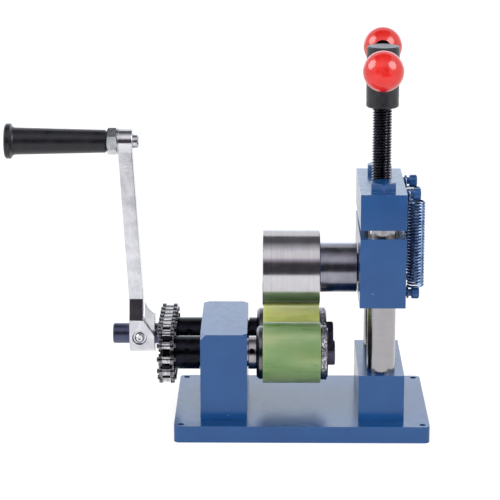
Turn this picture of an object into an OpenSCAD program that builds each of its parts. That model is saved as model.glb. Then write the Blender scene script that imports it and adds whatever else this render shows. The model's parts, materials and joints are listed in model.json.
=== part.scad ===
// Hand cranked three-roller bench mill.
// Origin: centre of the base plate's underside. +X runs along the shafts, away from the crank.
// -Y is the front, +Z is up. All lengths are in millimetres.

/* [Base plate] */
// Width of the base plate, along the shafts
base_w = 180; // [176:1:220]
// Depth of the base plate, front to back
base_d = 120; // [112:1:150]
// Thickness of the base plate
base_t = 12; // [11:0.5:20]
// Radius of the base plate's upright corners
base_corner_r = 4; // [1:0.5:7]
// Diameter of the four bench holes
bench_hole_d = 4.5; // [3:0.1:6]
// Distance from a bench hole's centre to the edges of the plate
bench_hole_inset = 5; // [4:0.5:8]

/* [Bearing post] */
// Width of the bearing post, along the shafts
post_w = 33; // [26:0.5:36]
// Distance from the base plate's centre back to the post's centre
post_offset = 55.1; // [54:0.1:60]
// Height of the lower shafts above the base plate
lower_axis_h = 43.5; // [41:0.5:50]
// Metal left between a bearing and the post's top
post_roof = 2.7; // [2:0.1:8]
// Metal left between a bearing and the post's front or back
post_wall = 4.7; // [3:0.1:8]
// Size of the cut across each top corner of the post
post_corner_cut = 4; // [1:0.5:5]

/* [Ball bearings] */
// Bore of the ball bearings, which is also the shaft diameter
shaft_d = 15; // [14:0.5:16]
// Outer diameter of the ball bearings
bearing_od = 32; // [31:0.5:33]
// Width of the ball bearings
bearing_w = 9; // [8:0.5:10]
// Diameter of the balls
ball_d = 4.76; // [4:0.02:5]
// Balls in each bearing
ball_count = 9; // [6:1:10]
// Thickness of a dust shield
shield_t = 0.6; // [0.4:0.1:0.8]

/* [Chain and sprockets] */
// Pitch of the roller chain
chain_pitch = 9.525; // [9.4:0.005:10]
// Teeth of each sprocket
sprocket_teeth = 12; // [10:2:12]
// Straight links between the two sprockets
run_links = 5; // [5:1:5]
// Diameter of the chain's rollers
chain_roller_d = 6.35; // [6:0.05:6.5]
// Gap between the inner plates
chain_inner_w = 5.72; // [5.6:0.02:6.2]
// Thickness of an inner plate
inner_plate_t = 1.3; // [1:0.05:1.5]
// Thickness of an outer plate
outer_plate_t = 1.04; // [0.8:0.02:1.3]
// Height of the plates
chain_plate_h = 8.26; // [7.6:0.02:8.6]
// Diameter of the pins
chain_pin_d = 3.28; // [3:0.02:3.4]
// Outer diameter of the bushes
chain_bush_d = 4.7; // [4.4:0.05:4.9]
// Overall length of the pins
chain_pin_l = 13.2; // [12.9:0.1:14]
// Thickness of the sprockets' toothed disc
sprocket_t = 5.3; // [4.5:0.1:5.4]
// Diameter of the sprockets' hub
sprocket_hub_d = 23.7; // [22:0.1:25]
// Distance from the post's face to the middle of the chain
chain_offset = 24.1; // [22:0.1:26]

/* [Lower rollers] */
// Outer diameter of the green cover
tyre_d = 43.2; // [41:0.2:45]
// Length of the green cover
tyre_l = 41; // [36:0.5:42]
// Diameter of the steel core under the cover
core_d = 38; // [34:0.5:39]
// Length of the steel core
core_l = 50.5; // [48:0.5:52]
// How far the core stands out of the cover on the post's side
core_lip = 4.4; // [2:0.1:6]
// Chamfer of the core's rims
core_chamfer = 1.8; // [0.5:0.1:2]
// Diameter of the shaft collars
collar_d = 23.7; // [22:0.1:25]
// Length of the shaft collars
collar_l = 6.6; // [6:0.1:8]
// Size across the flats of the end bolts
end_bolt_af = 18; // [16:0.5:19]
// Height of the end bolts' heads
end_bolt_head = 5.2; // [4:0.1:7]

/* [Guide columns and blocks] */
// Distance from the base plate's centre to the columns' plane
column_offset = 56.2; // [55:0.1:60]
// Diameter of the guide columns
column_d = 20; // [18:0.5:20.5]
// Distance between the columns, front to back
column_spacing = 59.8; // [59:0.2:64]
// Length of the columns above the base plate
column_l = 137.8; // [137:0.1:160]
// Width of the blocks on the columns, along the shafts
block_w = 32.2; // [32:0.1:38]
// Metal left between a bush and the front of a block
block_wall = 2.6; // [2:0.1:6]
// Height of the column foot
foot_h = 32.6; // [28:0.2:36]
// Height of the top block
top_block_h = 25.4; // [22:0.2:32]
// Size across the flats of the column bolts
column_bolt_af = 17; // [15:0.5:18]
// Height of the column bolts' heads
column_bolt_head = 6.4; // [5:0.1:8]

/* [Press head] */
// Height of the upper roller's axis above the base plate, as posed
upper_axis_h = 100.2; // [98:0.1:100.4]
// Height of the press block
press_block_h = 49.65; // [47:0.05:50]
// Distance from the press block's underside up to the roller's axis
axis_in_block = 18.25; // [17.8:0.05:19]
// Outer diameter of the bronze bushes
bush_od = 24; // [23:0.5:24.5]
// Length of the bronze bushes
bush_l = 15; // [10:0.5:20]
// Depth of the outer bearing below the block's end face
bearing_recess = 5.3; // [5:0.1:6]

/* [Upper roller] */
// Diameter of the upper roller
roller_d = 55.7; // [50:0.1:56]
// Length of the upper roller
roller_l = 40.8; // [36:0.2:41]
// Diameter of the shaft's thick boss
boss_d = 35.6; // [30:0.2:36]
// Length of the thick boss, up to the press block
boss_l = 27.2; // [26:0.1:28]
// Diameter of the spigot inside the roller
spigot_d = 20; // [18:0.5:24]
// Diameter of the recess in the roller's free end
roller_recess_d = 32; // [28:0.5:36]
// Depth of that recess
roller_recess = 7; // [6.6:0.1:9]

/* [Pressure screw] */
// Outer diameter of the pressure screw's thread
screw_d = 14; // [12:0.5:15]
// Gap between the top block and the screw's hub, as posed
screw_show = 53.8; // [40:0.2:60]
// Diameter of the screw's hub
hub_d = 23.1; // [20:0.1:26]
// Height of the screw's hub
hub_h = 43; // [36:0.5:50]
// Distance from the hub's top down to the cross bar
bar_drop = 8.7; // [8:0.1:12]
// Diameter of the cross bar
bar_d = 10; // [8:0.5:11]
// Diameter of the ball knobs
knob_d = 28; // [25:0.5:32]
// Distance between the centres of the ball knobs
knob_spacing = 110.5; // [90:0.5:130]
// Diameter of the flat on each ball knob
knob_flat_d = 12.5; // [12:0.1:16]
// Turn of the cross bar about the screw, as posed
bar_turn = -2.5; // [-10:0.5:10]

/* [Springs] */
// Outer diameter of the springs
spring_od = 12.3; // [11:0.1:13]
// Wire diameter of the springs
spring_wire = 1.6; // [1.2:0.05:1.7]
// Coils of each spring
spring_turns = 28; // [20:1:28]
// Distance between the springs, front to back
spring_spacing = 44; // [40:0.5:46]
// Height of the upper spring screws above the top block's underside
spring_screw_up = 21.2; // [17:0.2:21.2]
// Height of the lower spring screws above the press block's underside
spring_screw_low = 5.65; // [5.4:0.05:8]
// Diameter of the spring screws' shank
spring_screw_d = 5; // [4:0.1:5.2]
// Length of shank between a block and a screw head
spring_shank_l = 5; // [4.6:0.1:6]
// Diameter of the spring screws' heads
spring_head_d = 8.7; // [8:0.1:8.8]
// Length of the spring screws' heads
spring_head_l = 5.6; // [4:0.1:7]

/* [Crank] */
// Distance from the shaft's axis to the grip's axis
crank_r = 143.5; // [120:0.5:160]
// Thickness of the crank arm
arm_t = 10.3; // [8:0.1:11]
// Width of the crank arm at its eye, front to back
arm_w = 13; // [10:0.5:16]
// Width of the crank arm above its hub, front to back
arm_foot_w = 18; // [14:0.5:24]
// Sideways lean of the arm, from its foot to its eye
arm_lean = 6.7; // [2:0.1:9]
// Diameter of the crank's hub
crank_hub_d = 26.5; // [25:0.5:30]
// Length of the crank's hub
crank_hub_l = 18.6; // [17:0.1:20]
// Gap between the chain's pins and the crank's hub
crank_gap = 4.2; // [3:0.1:6]
// Diameter of the crank's eye
eye_d = 18.3; // [17:0.1:22]
// How far the rear shaft stands out of the crank's hub
stub_l = 12.4; // [6:0.1:20]
// Diameter of the shaft's stub
stub_d = 14.8; // [12:0.1:14.8]
// Diameter of the grip bolt
grip_bolt_d = 10; // [8:0.5:10.2]
// Size across the flats of the grip's lock nut
grip_nut_af = 17; // [16:0.5:18]
// Height of the grip's lock nut
grip_nut_h = 7.5; // [6:0.1:9]
// Length of the grip
grip_l = 73; // [60:0.5:90]
// Diameter of the grip near its flange
grip_d = 19.6; // [19:0.1:22]
// Diameter of the grip at its inner end
grip_small_d = 16.5; // [15.5:0.1:18]
// Diameter of the grip's flange
grip_flange_d = 25.4; // [24:0.1:30]
// Thickness of the grip's flange
grip_flange_t = 4.5; // [3:0.1:7]

/* [Hidden] */
$fn = 64;

// Play between a pressed or bolted piece and its seat
seat_gap = 0.02;
// Play between pieces that move against each other in a fit
running_gap = 0.05;
// Gap between neighbours that turn past each other
free_gap = 0.3;
// How far a cut runs past the faces that it opens
overrun = 1;
// Chamfer on turned ends
turned_chamfer = 0.8;
// Corners of a hexagon
hex_sides = 6;
// Depth of a socket or thread hole past the piece that fills it
hole_spare = 2;
// Long side of the block that clips the post's corners
clip_block = 12;

// Cylinder head screws: shank, head diameter, head height, socket across flats
m6_d = 6;
m6_head_d = 10;
m6_head_h = 6;
m6_socket = 5;
m8_d = 8;
m8_head_d = 13;
m8_head_h = 8;
m8_socket = 6;
screw_bite = 14;
head_play = 0.5;

// Low round head screws that hold the upper shaft's washers
m8_low_head_d = 14;
m8_low_head_h = 4;
m6_low_head_d = 10.5;
m6_low_head_h = 3.3;
roller_washer_d = 28;
roller_washer_t = 2;
shaft_washer_t = 1.2;

// Set screws of sprockets and collars
sprocket_set_d = 5;
collar_set_d = 4;
set_socket_share = 0.5;
set_screw_sink = 0.4;
// Turn of the set screws, up from the front
set_screw_turn = 20;

// Keys under the rollers
key_w = 5;
key_l = 24;
key_sink = 3;
key_inset = 3;
key_headroom = 0.3;

// Bearing rings
land_share = 0.305;
ring_land = (bearing_od - shaft_d) / 2 * land_share;
shield_seat = 1;

// Step on hubs and collars that meets only the bearing's inner ring
step_d = shaft_d + 2 * ring_land - 2 * running_gap;

// Tapped holes in the shaft ends
end_bolt_d = 10;
end_bolt_l = 20;
shaft_end_short = 1;

// Chain details
chain_side_gap = 0.06;
roller_side_gap = 0.06;
tooth_tip_share = 0.6;
tooth_flank_share = 0.59;
plate_waist_share = 0.66;
clip_t = 0.8;
clip_wall = 1.5;
clip_slot_w = 2.2;

// Press head details
recess_d = 15;
recess_depth = 5;
pad_t = 3;
pad_play = 0.2;
tip_d = 10;
bush_relief = 0.5;

// Pressure screw details
screw_in_hub = 11;
hub_pin_d = 4;
hub_pin_rise = 5;
spigot_bar_d = 8;
spigot_past_centre = 2;

// Column bolt details
column_bolt_d = 10;
column_bolt_l = 18;
bolt_crown_share = 0.46;
bolt_turn = 30;

// Spring screw details
spring_bite = 4.8;
spring_socket = 4;
spring_socket_depth = 3;
hook_r = 4.2;
hook_angle = 280;
hook_step = 28;
rings_per_turn = 8;
wire_sides = 6;
wire_play = 0.1;
spring_off = 2.5;

// Crank details
hub_flare_rise = 15;
hub_flare_r = 13;
crank_screw_d = 5;
crank_screw_head_d = 7;
crank_screw_head_h = 3;
crank_screw_recess_d = 10;
crank_screw_recess = 2.2;
crank_screw_off = 1.8;
grip_head_d = 16;
grip_head_h = 5;
grip_head_recess = 6.5;
grip_fillet = 3;
grip_fillet_step = 15;
grip_edge = 1;
nut_washer_t = 0.7;
nut_washer_d = 19;
bolt_past_eye = 4.2;

// Heights and places that follow from the sizes above
lower_z = base_t + lower_axis_h;
lower_y = chain_pitch * run_links / 2;
post_d = 2 * (lower_y + bearing_od / 2 + post_wall);
post_top = lower_z + bearing_od / 2 + post_roof;
post_left = -post_offset - post_w / 2;
post_right = -post_offset + post_w / 2;
chain_x = post_left - chain_offset;
column_y = column_spacing / 2;
block_d = 2 * (column_y + bush_od / 2 + block_wall);
block_left = column_offset - block_w / 2;
block_right = column_offset + block_w / 2;
top_z = base_t + column_l;
top_block_top = top_z + top_block_h;
upper_z = base_t + upper_axis_h;
press_bottom = upper_z - axis_in_block;
press_top = press_bottom + press_block_h;
core_left = post_right + collar_l;
core_right = core_left + core_l;
tyre_left = core_left + core_lip;
shaft_right = core_right - shaft_end_short;
sprocket_left = chain_x - sprocket_t / 2;
crank_right = chain_x - chain_pin_l / 2 - crank_gap;
crank_left = crank_right - crank_hub_l;
stub_left = crank_left - stub_l;
front_shaft_left = sprocket_left - turned_chamfer;
boss_left = block_left - boss_l;
roller_left = boss_left - roller_l;
head_bearing_right = block_right - bearing_recess;
spring_y = spring_spacing / 2;
spring_x = block_right + spring_off + spring_od / 2 - spring_wire / 2;
upper_screw_z = top_z + spring_screw_up;
lower_screw_z = press_bottom + spring_screw_low;
hub_bottom = top_block_top + screw_show;
hub_top = hub_bottom + hub_h;
bar_z = hub_top - bar_drop;
eye_z = crank_r;
eye_right = crank_left + arm_t - arm_lean;
eye_left = eye_right - arm_t;
nut_left = eye_left - nut_washer_t - grip_nut_h;
grip_right = nut_left - free_gap;
grip_left = grip_right - grip_l;
pitch_r = chain_pitch / (2 * sin(180 / sprocket_teeth));
chain_links = sprocket_teeth + 2 * run_links;
ball_pitch_r = (shaft_d + bearing_od) / 4;

// Colours
mill_blue = [0.19, 0.36, 0.58];
bright_steel = [0.72, 0.72, 0.73];
dark_steel = [0.33, 0.33, 0.36];
black_steel = [0.13, 0.13, 0.14];
chrome = [0.86, 0.87, 0.89];
bronze = [0.72, 0.52, 0.27];
cover_green = [0.55, 0.68, 0.36];
ball_red = [0.87, 0.13, 0.11];
grip_black = [0.09, 0.09, 0.10];

// Round bar along X from x
module bar_x(x, length, d) {
    translate([x, 0, 0]) rotate([0, 90, 0]) cylinder(h = length, d = d);
}

// Round bar along X with a chamfer at both ends
module chamfered_bar_x(x, length, d, c) {
    r = d / 2;
    translate([x, 0, 0]) rotate([0, 90, 0]) rotate_extrude()
        polygon([[0, 0], [r - c, 0], [r, c], [r, length - c], [r - c, length], [0, length]]);
}

// Hexagonal bar along X, one corner up
module hex_x(x, length, af) {
    translate([x, 0, 0]) rotate([0, 90, 0])
        cylinder(h = length, d = af / cos(180 / hex_sides), $fn = hex_sides);
}

// Profile drawn in Y and Z, made into a plate along +X from x
module plate_x(x, t) {
    translate([x, 0, 0]) rotate([90, 0, 90]) linear_extrude(t) children();
}

// Moves a piece drawn about the X axis to the front (-1) or rear (1) lower shaft
module at_shaft(side) {
    translate([0, side * lower_y, lower_z]) children();
}

// Moves a piece drawn about the X axis to the upper shaft
module at_upper() {
    translate([0, 0, upper_z]) children();
}

// Cylinder head screw standing up from z, its head below
module socket_screw(z, d, length, head_d, head_h, socket) {
    translate([0, 0, z]) difference() {
        union() {
            cylinder(h = head_h, d = head_d);
            cylinder(h = head_h + length, d = d);
        }
        translate([0, 0, -overrun])
            cylinder(h = overrun + head_h / 2, d = socket / cos(180 / hex_sides), $fn = hex_sides);
    }
}

// Ball bearing pieces, from x to x + bearing_w
module bearing_groove() {
    translate([ball_pitch_r, bearing_w / 2]) circle(d = ball_d + 2 * running_gap);
}

module bearing_outer(x) {
    r = bearing_od / 2;
    land = r - ring_land;
    seat = land + shield_seat;
    translate([x, 0, 0]) rotate([0, 90, 0]) rotate_extrude() difference() {
        polygon([
            [seat, 0], [r, 0], [r, bearing_w], [seat, bearing_w],
            [seat, bearing_w - shield_t], [land, bearing_w - shield_t], [land, shield_t], [seat, shield_t]
        ]);
        bearing_groove();
    }
}

module bearing_inner(x) {
    r = shaft_d / 2 + seat_gap;
    land = shaft_d / 2 + ring_land;
    translate([x, 0, 0]) rotate([0, 90, 0]) rotate_extrude() difference() {
        polygon([[r, 0], [land, 0], [land, bearing_w], [r, bearing_w]]);
        bearing_groove();
    }
}

module bearing_balls(x) {
    for (i = [0 : ball_count - 1])
        rotate([i * 360 / ball_count, 0, 0])
            translate([x + bearing_w / 2, 0, ball_pitch_r]) sphere(d = ball_d, $fn = 32);
}

module bearing_shields(x) {
    outer = bearing_od / 2 - ring_land + shield_seat - seat_gap;
    inner = shaft_d / 2 + ring_land + free_gap;
    for (side_x = [x, x + bearing_w - shield_t])
        translate([side_x, 0, 0]) rotate([0, 90, 0]) rotate_extrude()
            polygon([[inner, 0], [outer, 0], [outer, shield_t], [inner, shield_t]]);
}

// Frame

module rounded_rectangle(w, d, r) {
    square([w - 2 * r, d], center = true);
    square([w, d - 2 * r], center = true);
    for (sx = [-1, 1], sy = [-1, 1])
        translate([sx * (w / 2 - r), sy * (d / 2 - r)]) circle(r = r);
}

module base_screw_places() {
    for (sy = [-1, 1]) {
        translate([-post_offset, sy * lower_y, 0]) children();
        translate([column_offset, sy * (column_y - column_d / 2 - m6_head_d), 0]) children();
    }
}

module column_places() {
    for (sy = [-1, 1]) translate([column_offset, sy * column_y, 0]) children();
}

module base_plate() {
    color(mill_blue) difference() {
        linear_extrude(base_t) rounded_rectangle(base_w, base_d, base_corner_r);
        for (sx = [-1, 1], sy = [-1, 1])
            translate([sx * (base_w / 2 - bench_hole_inset), sy * (base_d / 2 - bench_hole_inset), -overrun])
                cylinder(h = base_t + 2 * overrun, d = bench_hole_d);
        base_screw_places() screw_clearance(m6_d, m6_head_d, m6_head_h);
        column_places() screw_clearance(m8_d, m8_head_d, m8_head_h);
    }
}

// Stepped hole up through the base plate for a screw from below
module screw_clearance(d, head_d, head_h) {
    translate([0, 0, -overrun]) {
        cylinder(h = base_t + 2 * overrun, d = d + 2 * seat_gap);
        cylinder(h = overrun + head_play + head_h, d = head_d + 2 * head_play);
    }
}

module clip_corner(sx, sy) {
    tilt = acos(1 / sqrt(3));
    turn = atan2(sy, sx);
    reach = post_corner_cut / sqrt(3);
    translate([-post_offset + sx * post_w / 2, sy * post_d / 2, post_top]) rotate([0, tilt, turn])
        translate([-clip_block / 2, -clip_block / 2, -reach]) cube(clip_block);
}

module bearing_post() {
    color(mill_blue) difference() {
        translate([post_left, -post_d / 2, base_t]) cube([post_w, post_d, post_top - base_t]);
        for (side = [-1, 1]) at_shaft(side) {
            bar_x(post_left - overrun, post_w + 2 * overrun, bearing_od - 2 * ring_land);
            bar_x(post_left - overrun, overrun + bearing_w, bearing_od + 2 * seat_gap);
            bar_x(post_right - bearing_w, overrun + bearing_w, bearing_od + 2 * seat_gap);
        }
        for (sx = [-1, 1], sy = [-1, 1]) clip_corner(sx, sy);
        for (sy = [-1, 1])
            translate([-post_offset, sy * lower_y, base_t - overrun])
                cylinder(h = overrun + screw_bite_post + hole_spare, d = m6_d + 2 * seat_gap);
    }
}

// Bite of the post's screws, which end below the bearings
screw_bite_post = min(screw_bite, lower_axis_h - bearing_od / 2 - 2 * hole_spare);

module column_foot() {
    color(mill_blue) difference() {
        translate([block_left, -block_d / 2, base_t]) cube([block_w, block_d, foot_h]);
        column_places() translate([0, 0, base_t - overrun])
            cylinder(h = foot_h + 2 * overrun, d = column_d + 2 * seat_gap);
        for (sy = [-1, 1])
            translate([column_offset, sy * (column_y - column_d / 2 - m6_head_d), base_t - overrun])
                cylinder(h = overrun + screw_bite + hole_spare, d = m6_d + 2 * seat_gap);
    }
}

// One guide column, tapped at both ends
module column(sy) {
    color(bright_steel) translate([column_offset, sy * column_y, base_t]) difference() {
        cylinder(h = column_l, d = column_d);
        translate([0, 0, -overrun])
            cylinder(h = overrun + screw_bite + hole_spare, d = m8_d + 2 * seat_gap);
        translate([0, 0, column_l - column_bolt_l - hole_spare])
            cylinder(h = column_bolt_l + hole_spare + overrun, d = column_bolt_d + 2 * seat_gap);
    }
}

module front_column() { column(-1); }

module rear_column() { column(1); }

module spring_screw_places(z) {
    for (sy = [-1, 1]) translate([0, sy * spring_y, z]) children();
}

module top_block() {
    color(mill_blue) difference() {
        translate([block_left, -block_d / 2, top_z]) cube([block_w, block_d, top_block_h]);
        translate([column_offset, 0, top_z - overrun])
            cylinder(h = top_block_h + 2 * overrun, d = screw_d + 2 * running_gap);
        column_places() translate([0, 0, top_z - overrun])
            cylinder(h = top_block_h + 2 * overrun, d = column_bolt_d + 2 * seat_gap);
        spring_screw_places(upper_screw_z)
            bar_x(block_right - spring_bite, spring_bite + overrun, spring_screw_d + 2 * seat_gap);
    }
}

module column_bolts() {
    color(mill_blue) column_places() translate([0, 0, top_block_top]) {
        intersection() {
            rotate([0, 0, bolt_turn]) cylinder(h = column_bolt_head, d = column_bolt_af / cos(180 / hex_sides),
                $fn = hex_sides);
            rotate_extrude() polygon([
                [0, 0], [column_bolt_af, 0], [column_bolt_af, column_bolt_head / 2],
                [column_bolt_af * bolt_crown_share, column_bolt_head], [0, column_bolt_head]
            ]);
        }
        translate([0, 0, -top_block_h - column_bolt_l])
            cylinder(h = top_block_h + column_bolt_l + overrun, d = column_bolt_d);
    }
}

module column_screws() {
    color(black_steel) column_places()
        socket_screw(head_play, m8_d, base_t - head_play - m8_head_h + screw_bite,
            m8_head_d, m8_head_h, m8_socket);
}

module base_screws() {
    for (sy = [-1, 1]) color(black_steel) {
        translate([-post_offset, sy * lower_y, 0])
            socket_screw(head_play, m6_d, base_t - head_play - m6_head_h + screw_bite_post,
                m6_head_d, m6_head_h, m6_socket);
        translate([column_offset, sy * (column_y - column_d / 2 - m6_head_d), 0])
            socket_screw(head_play, m6_d, base_t - head_play - m6_head_h + screw_bite,
                m6_head_d, m6_head_h, m6_socket);
    }
}

// Shouldered screw that a spring hooks onto, at the height z
module spring_screws(z) {
    head_x = block_right + spring_shank_l;
    color(mill_blue) spring_screw_places(z) difference() {
        union() {
            bar_x(block_right - spring_bite, spring_bite + spring_shank_l + overrun, spring_screw_d);
            chamfered_bar_x(head_x, spring_head_l, spring_head_d, turned_chamfer);
        }
        hex_x(head_x + spring_head_l - spring_socket_depth, spring_socket_depth + overrun, spring_socket);
    }
}

module upper_spring_screws() { spring_screws(upper_screw_z); }

module post_bearing_outers() {
    color(bright_steel) for (side = [-1, 1]) at_shaft(side) {
        bearing_outer(post_left);
        bearing_outer(post_right - bearing_w);
    }
}

module post_bearing_balls() {
    color(bright_steel) for (side = [-1, 1]) at_shaft(side) {
        bearing_balls(post_left);
        bearing_balls(post_right - bearing_w);
    }
}

module post_bearing_shields() {
    color(dark_steel) for (side = [-1, 1]) at_shaft(side) {
        bearing_shields(post_left);
        bearing_shields(post_right - bearing_w);
    }
}

// Chain: joints run round the front sprocket, back along the bottom, round the rear one and
// forward along the top. Places are [y, z] about the middle of the two shafts.

half_teeth = sprocket_teeth / 2;
tooth_angle = 360 / sprocket_teeth;

function wrap_point(side, angle) = [side * lower_y + pitch_r * cos(angle), pitch_r * sin(angle)];

function chain_point(i) =
    i <= half_teeth ? wrap_point(-1, 90 + i * tooth_angle) :
    i < half_teeth + run_links ? [-lower_y + (i - half_teeth) * chain_pitch, -pitch_r] :
    i <= 2 * half_teeth + run_links ? wrap_point(1, -90 + (i - half_teeth - run_links) * tooth_angle) :
    [lower_y - (i - 2 * half_teeth - run_links) * chain_pitch, pitch_r];

// Puts a piece drawn from the joint i, with the next joint along +X, in its place on the chain
module at_link(i, x, t) {
    a = chain_point(i);
    b = chain_point((i + 1) % chain_links);
    translate([0, 0, lower_z]) plate_x(x, t) translate(a) rotate(atan2(b[1] - a[1], b[0] - a[0])) children();
}

// Waisted plate outline with two holes
module link_outline(hole_d) {
    waist = chain_plate_h * plate_waist_share;
    difference() {
        union() {
            circle(d = chain_plate_h);
            translate([chain_pitch, 0]) circle(d = chain_plate_h);
            translate([0, -waist / 2]) square([chain_pitch, waist]);
        }
        circle(d = hole_d, $fn = 32);
        translate([chain_pitch, 0]) circle(d = hole_d, $fn = 32);
    }
}

inner_face = chain_inner_w / 2;
outer_face = inner_face + inner_plate_t + chain_side_gap;

// Links of one kind start at the joint first, and every second one follows
module links(first, offset, t, hole_d) {
    for (i = [first : 2 : chain_links - 1], side_x = [chain_x - offset - t, chain_x + offset])
        at_link(i, side_x, t) link_outline(hole_d);
}

module chain_inner_plates() {
    color(bright_steel) links(0, inner_face, inner_plate_t, chain_bush_d + 2 * seat_gap);
}

module chain_outer_plates() {
    color(dark_steel) links(1, outer_face, outer_plate_t, chain_pin_d + 2 * seat_gap);
}

// Tube round every joint of the chain
module joint_tubes(length, d, bore) {
    for (i = [0 : chain_links - 1]) {
        p = chain_point(i);
        translate([0, 0, lower_z]) plate_x(chain_x - length / 2, length) translate(p) difference() {
            circle(d = d, $fn = 32);
            if (bore > 0) circle(d = bore, $fn = 32);
        }
    }
}

module chain_bushes() {
    color(dark_steel) joint_tubes(chain_inner_w + 2 * inner_plate_t, chain_bush_d,
        chain_pin_d + 2 * running_gap);
}

module chain_rollers() {
    color(bright_steel) joint_tubes(chain_inner_w - 2 * roller_side_gap, chain_roller_d,
        chain_bush_d + 2 * running_gap);
}

module chain_pins() {
    color(bright_steel) joint_tubes(chain_pin_l, chain_pin_d, 0);
}

// Spring clip of the connecting link, on the top of the rear sprocket
module chain_clip() {
    outline_d = chain_pin_d + 2 * clip_wall;
    color(dark_steel) at_link(2 * half_teeth + run_links, chain_x + outer_face + outer_plate_t, clip_t)
        difference() {
            union() {
                circle(d = outline_d);
                translate([chain_pitch, 0]) circle(d = outline_d);
                translate([0, -outline_d / 2]) square([chain_pitch, outline_d]);
            }
            circle(d = chain_pin_d + 2 * seat_gap, $fn = 32);
            translate([chain_pitch, 0]) circle(d = chain_pin_d + 2 * seat_gap, $fn = 32);
            translate([0, -clip_slot_w / 2]) square([chain_pitch + outline_d, clip_slot_w]);
        }
}

// Toothed disc outline: a blank with a roller seat and flared flanks at every gap
module sprocket_outline() {
    seat_r = chain_roller_d / 2 + running_gap;
    tip_r = chain_pitch * (tooth_tip_share + 1 / tan(180 / sprocket_teeth)) / 2;
    mouth = chain_pitch * tooth_flank_share;
    difference() {
        circle(r = tip_r);
        for (i = [0 : sprocket_teeth - 1]) rotate(90 + i * tooth_angle) {
            translate([pitch_r, 0]) circle(r = seat_r, $fn = 32);
            polygon([
                [pitch_r, -seat_r], [tip_r + overrun, -mouth],
                [tip_r + overrun, mouth], [pitch_r, seat_r]
            ]);
        }
        circle(d = shaft_d + 2 * seat_gap);
    }
}

// Radial screw hole or set screw at x, from radius r0 outward, turned up from the front
module radial_bar(x, r0, length, d) {
    rotate([-set_screw_turn, 0, 0]) translate([x, -r0, 0]) rotate([90, 0, 0])
        cylinder(h = length, d = d, $fn = 32);
}

sprocket_set_x = (sprocket_left + sprocket_t + post_left) / 2 + turned_chamfer;
collar_set_x = (post_right + core_left) / 2;

module sprocket(side) {
    hub_left = sprocket_left + sprocket_t;
    hub_right = post_left - turned_chamfer;
    color(black_steel) at_shaft(side) {
        plate_x(sprocket_left, sprocket_t) sprocket_outline();
        difference() {
            union() {
                bar_x(hub_left, hub_right - hub_left, sprocket_hub_d);
                bar_x(hub_right - overrun, post_left - hub_right + overrun, step_d);
            }
            bar_x(hub_left - overrun, post_left - hub_left + 2 * overrun, shaft_d + 2 * seat_gap);
            radial_bar(sprocket_set_x, 0, sprocket_hub_d, sprocket_set_d + 2 * seat_gap);
        }
    }
}

// Set screw in a hub of diameter hub, its socket outward
module set_screw(x, hub, d) {
    length = (hub - shaft_d) / 2 - set_screw_sink - running_gap;
    socket = d * set_socket_share / cos(180 / hex_sides);
    difference() {
        radial_bar(x, shaft_d / 2 + running_gap, length, d);
        rotate([-set_screw_turn, 0, 0]) translate([x, -shaft_d / 2 - length / 2, 0]) rotate([90, 0, 0])
            cylinder(h = length, d = socket, $fn = hex_sides);
    }
}

module set_screws(side) {
    color(black_steel) at_shaft(side) {
        set_screw(sprocket_set_x, sprocket_hub_d, sprocket_set_d);
        set_screw(collar_set_x, collar_d, collar_set_d);
    }
}

module collar(side) {
    step = turned_chamfer;
    color(dark_steel) at_shaft(side) difference() {
        union() {
            bar_x(post_right, step + overrun, step_d);
            chamfered_bar_x(post_right + step, collar_l - step, collar_d, turned_chamfer / 2);
        }
        bar_x(post_right - overrun, collar_l + 2 * overrun, shaft_d + 2 * seat_gap);
        radial_bar(collar_set_x, 0, collar_d, collar_set_d + 2 * seat_gap);
    }
}

module shaft_bearing_inners(side) {
    color(bright_steel) at_shaft(side) {
        bearing_inner(post_left);
        bearing_inner(post_right - bearing_w);
    }
}

// Lower shaft from x to the roller's end, keyed under the roller and tapped for the end bolt
module lower_shaft(side, x) {
    color(dark_steel) at_shaft(side) difference() {
        union() {
            chamfered_bar_x(x, shaft_right - x, shaft_d, turned_chamfer);
            if (side > 0)
                chamfered_bar_x(stub_left, stub_l + turned_chamfer, stub_d, turned_chamfer);
        }
        translate([core_left + key_inset, -key_w / 2, shaft_d / 2 - key_sink])
            cube([key_l, key_w, key_sink + overrun]);
        bar_x(shaft_right - end_bolt_l - hole_spare, end_bolt_l + hole_spare + overrun,
            end_bolt_d + 2 * seat_gap);
        if (side > 0) crank_dimple();
    }
}

// Dimple in the rear shaft under the crank screw's tip
module crank_dimple() {
    translate([crank_screw_x, -shaft_d / 2 + crank_dimple_depth, 0]) rotate([90, 0, 0])
        cylinder(h = crank_dimple_depth + overrun, d = crank_screw_d + 2 * seat_gap, $fn = 32);
}

module roller_key(side) {
    color(dark_steel) at_shaft(side)
        translate([core_left + key_inset, -key_w / 2, shaft_d / 2 - key_sink])
            cube([key_l, key_w, key_w]);
}

module roller_core(side) {
    keyway_top = shaft_d / 2 - key_sink + key_w + key_headroom;
    color(bright_steel) at_shaft(side) difference() {
        chamfered_bar_x(core_left, core_l, core_d, core_chamfer);
        bar_x(core_left - overrun, core_l + 2 * overrun, shaft_d + 2 * seat_gap);
        translate([core_left + key_inset - key_headroom, -key_w / 2, 0])
            cube([key_l + 2 * key_headroom, key_w, keyway_top]);
    }
}

module roller_tyre(side) {
    color(cover_green) at_shaft(side) difference() {
        chamfered_bar_x(tyre_left, tyre_l, tyre_d, turned_chamfer / 2);
        bar_x(tyre_left - overrun, tyre_l + 2 * overrun, core_d + 2 * seat_gap);
    }
}

module end_bolt(side) {
    color(black_steel) at_shaft(side) {
        hex_x(core_right, end_bolt_head, end_bolt_af);
        bar_x(shaft_right - end_bolt_l, end_bolt_l + shaft_end_short + overrun, end_bolt_d);
    }
}

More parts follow.
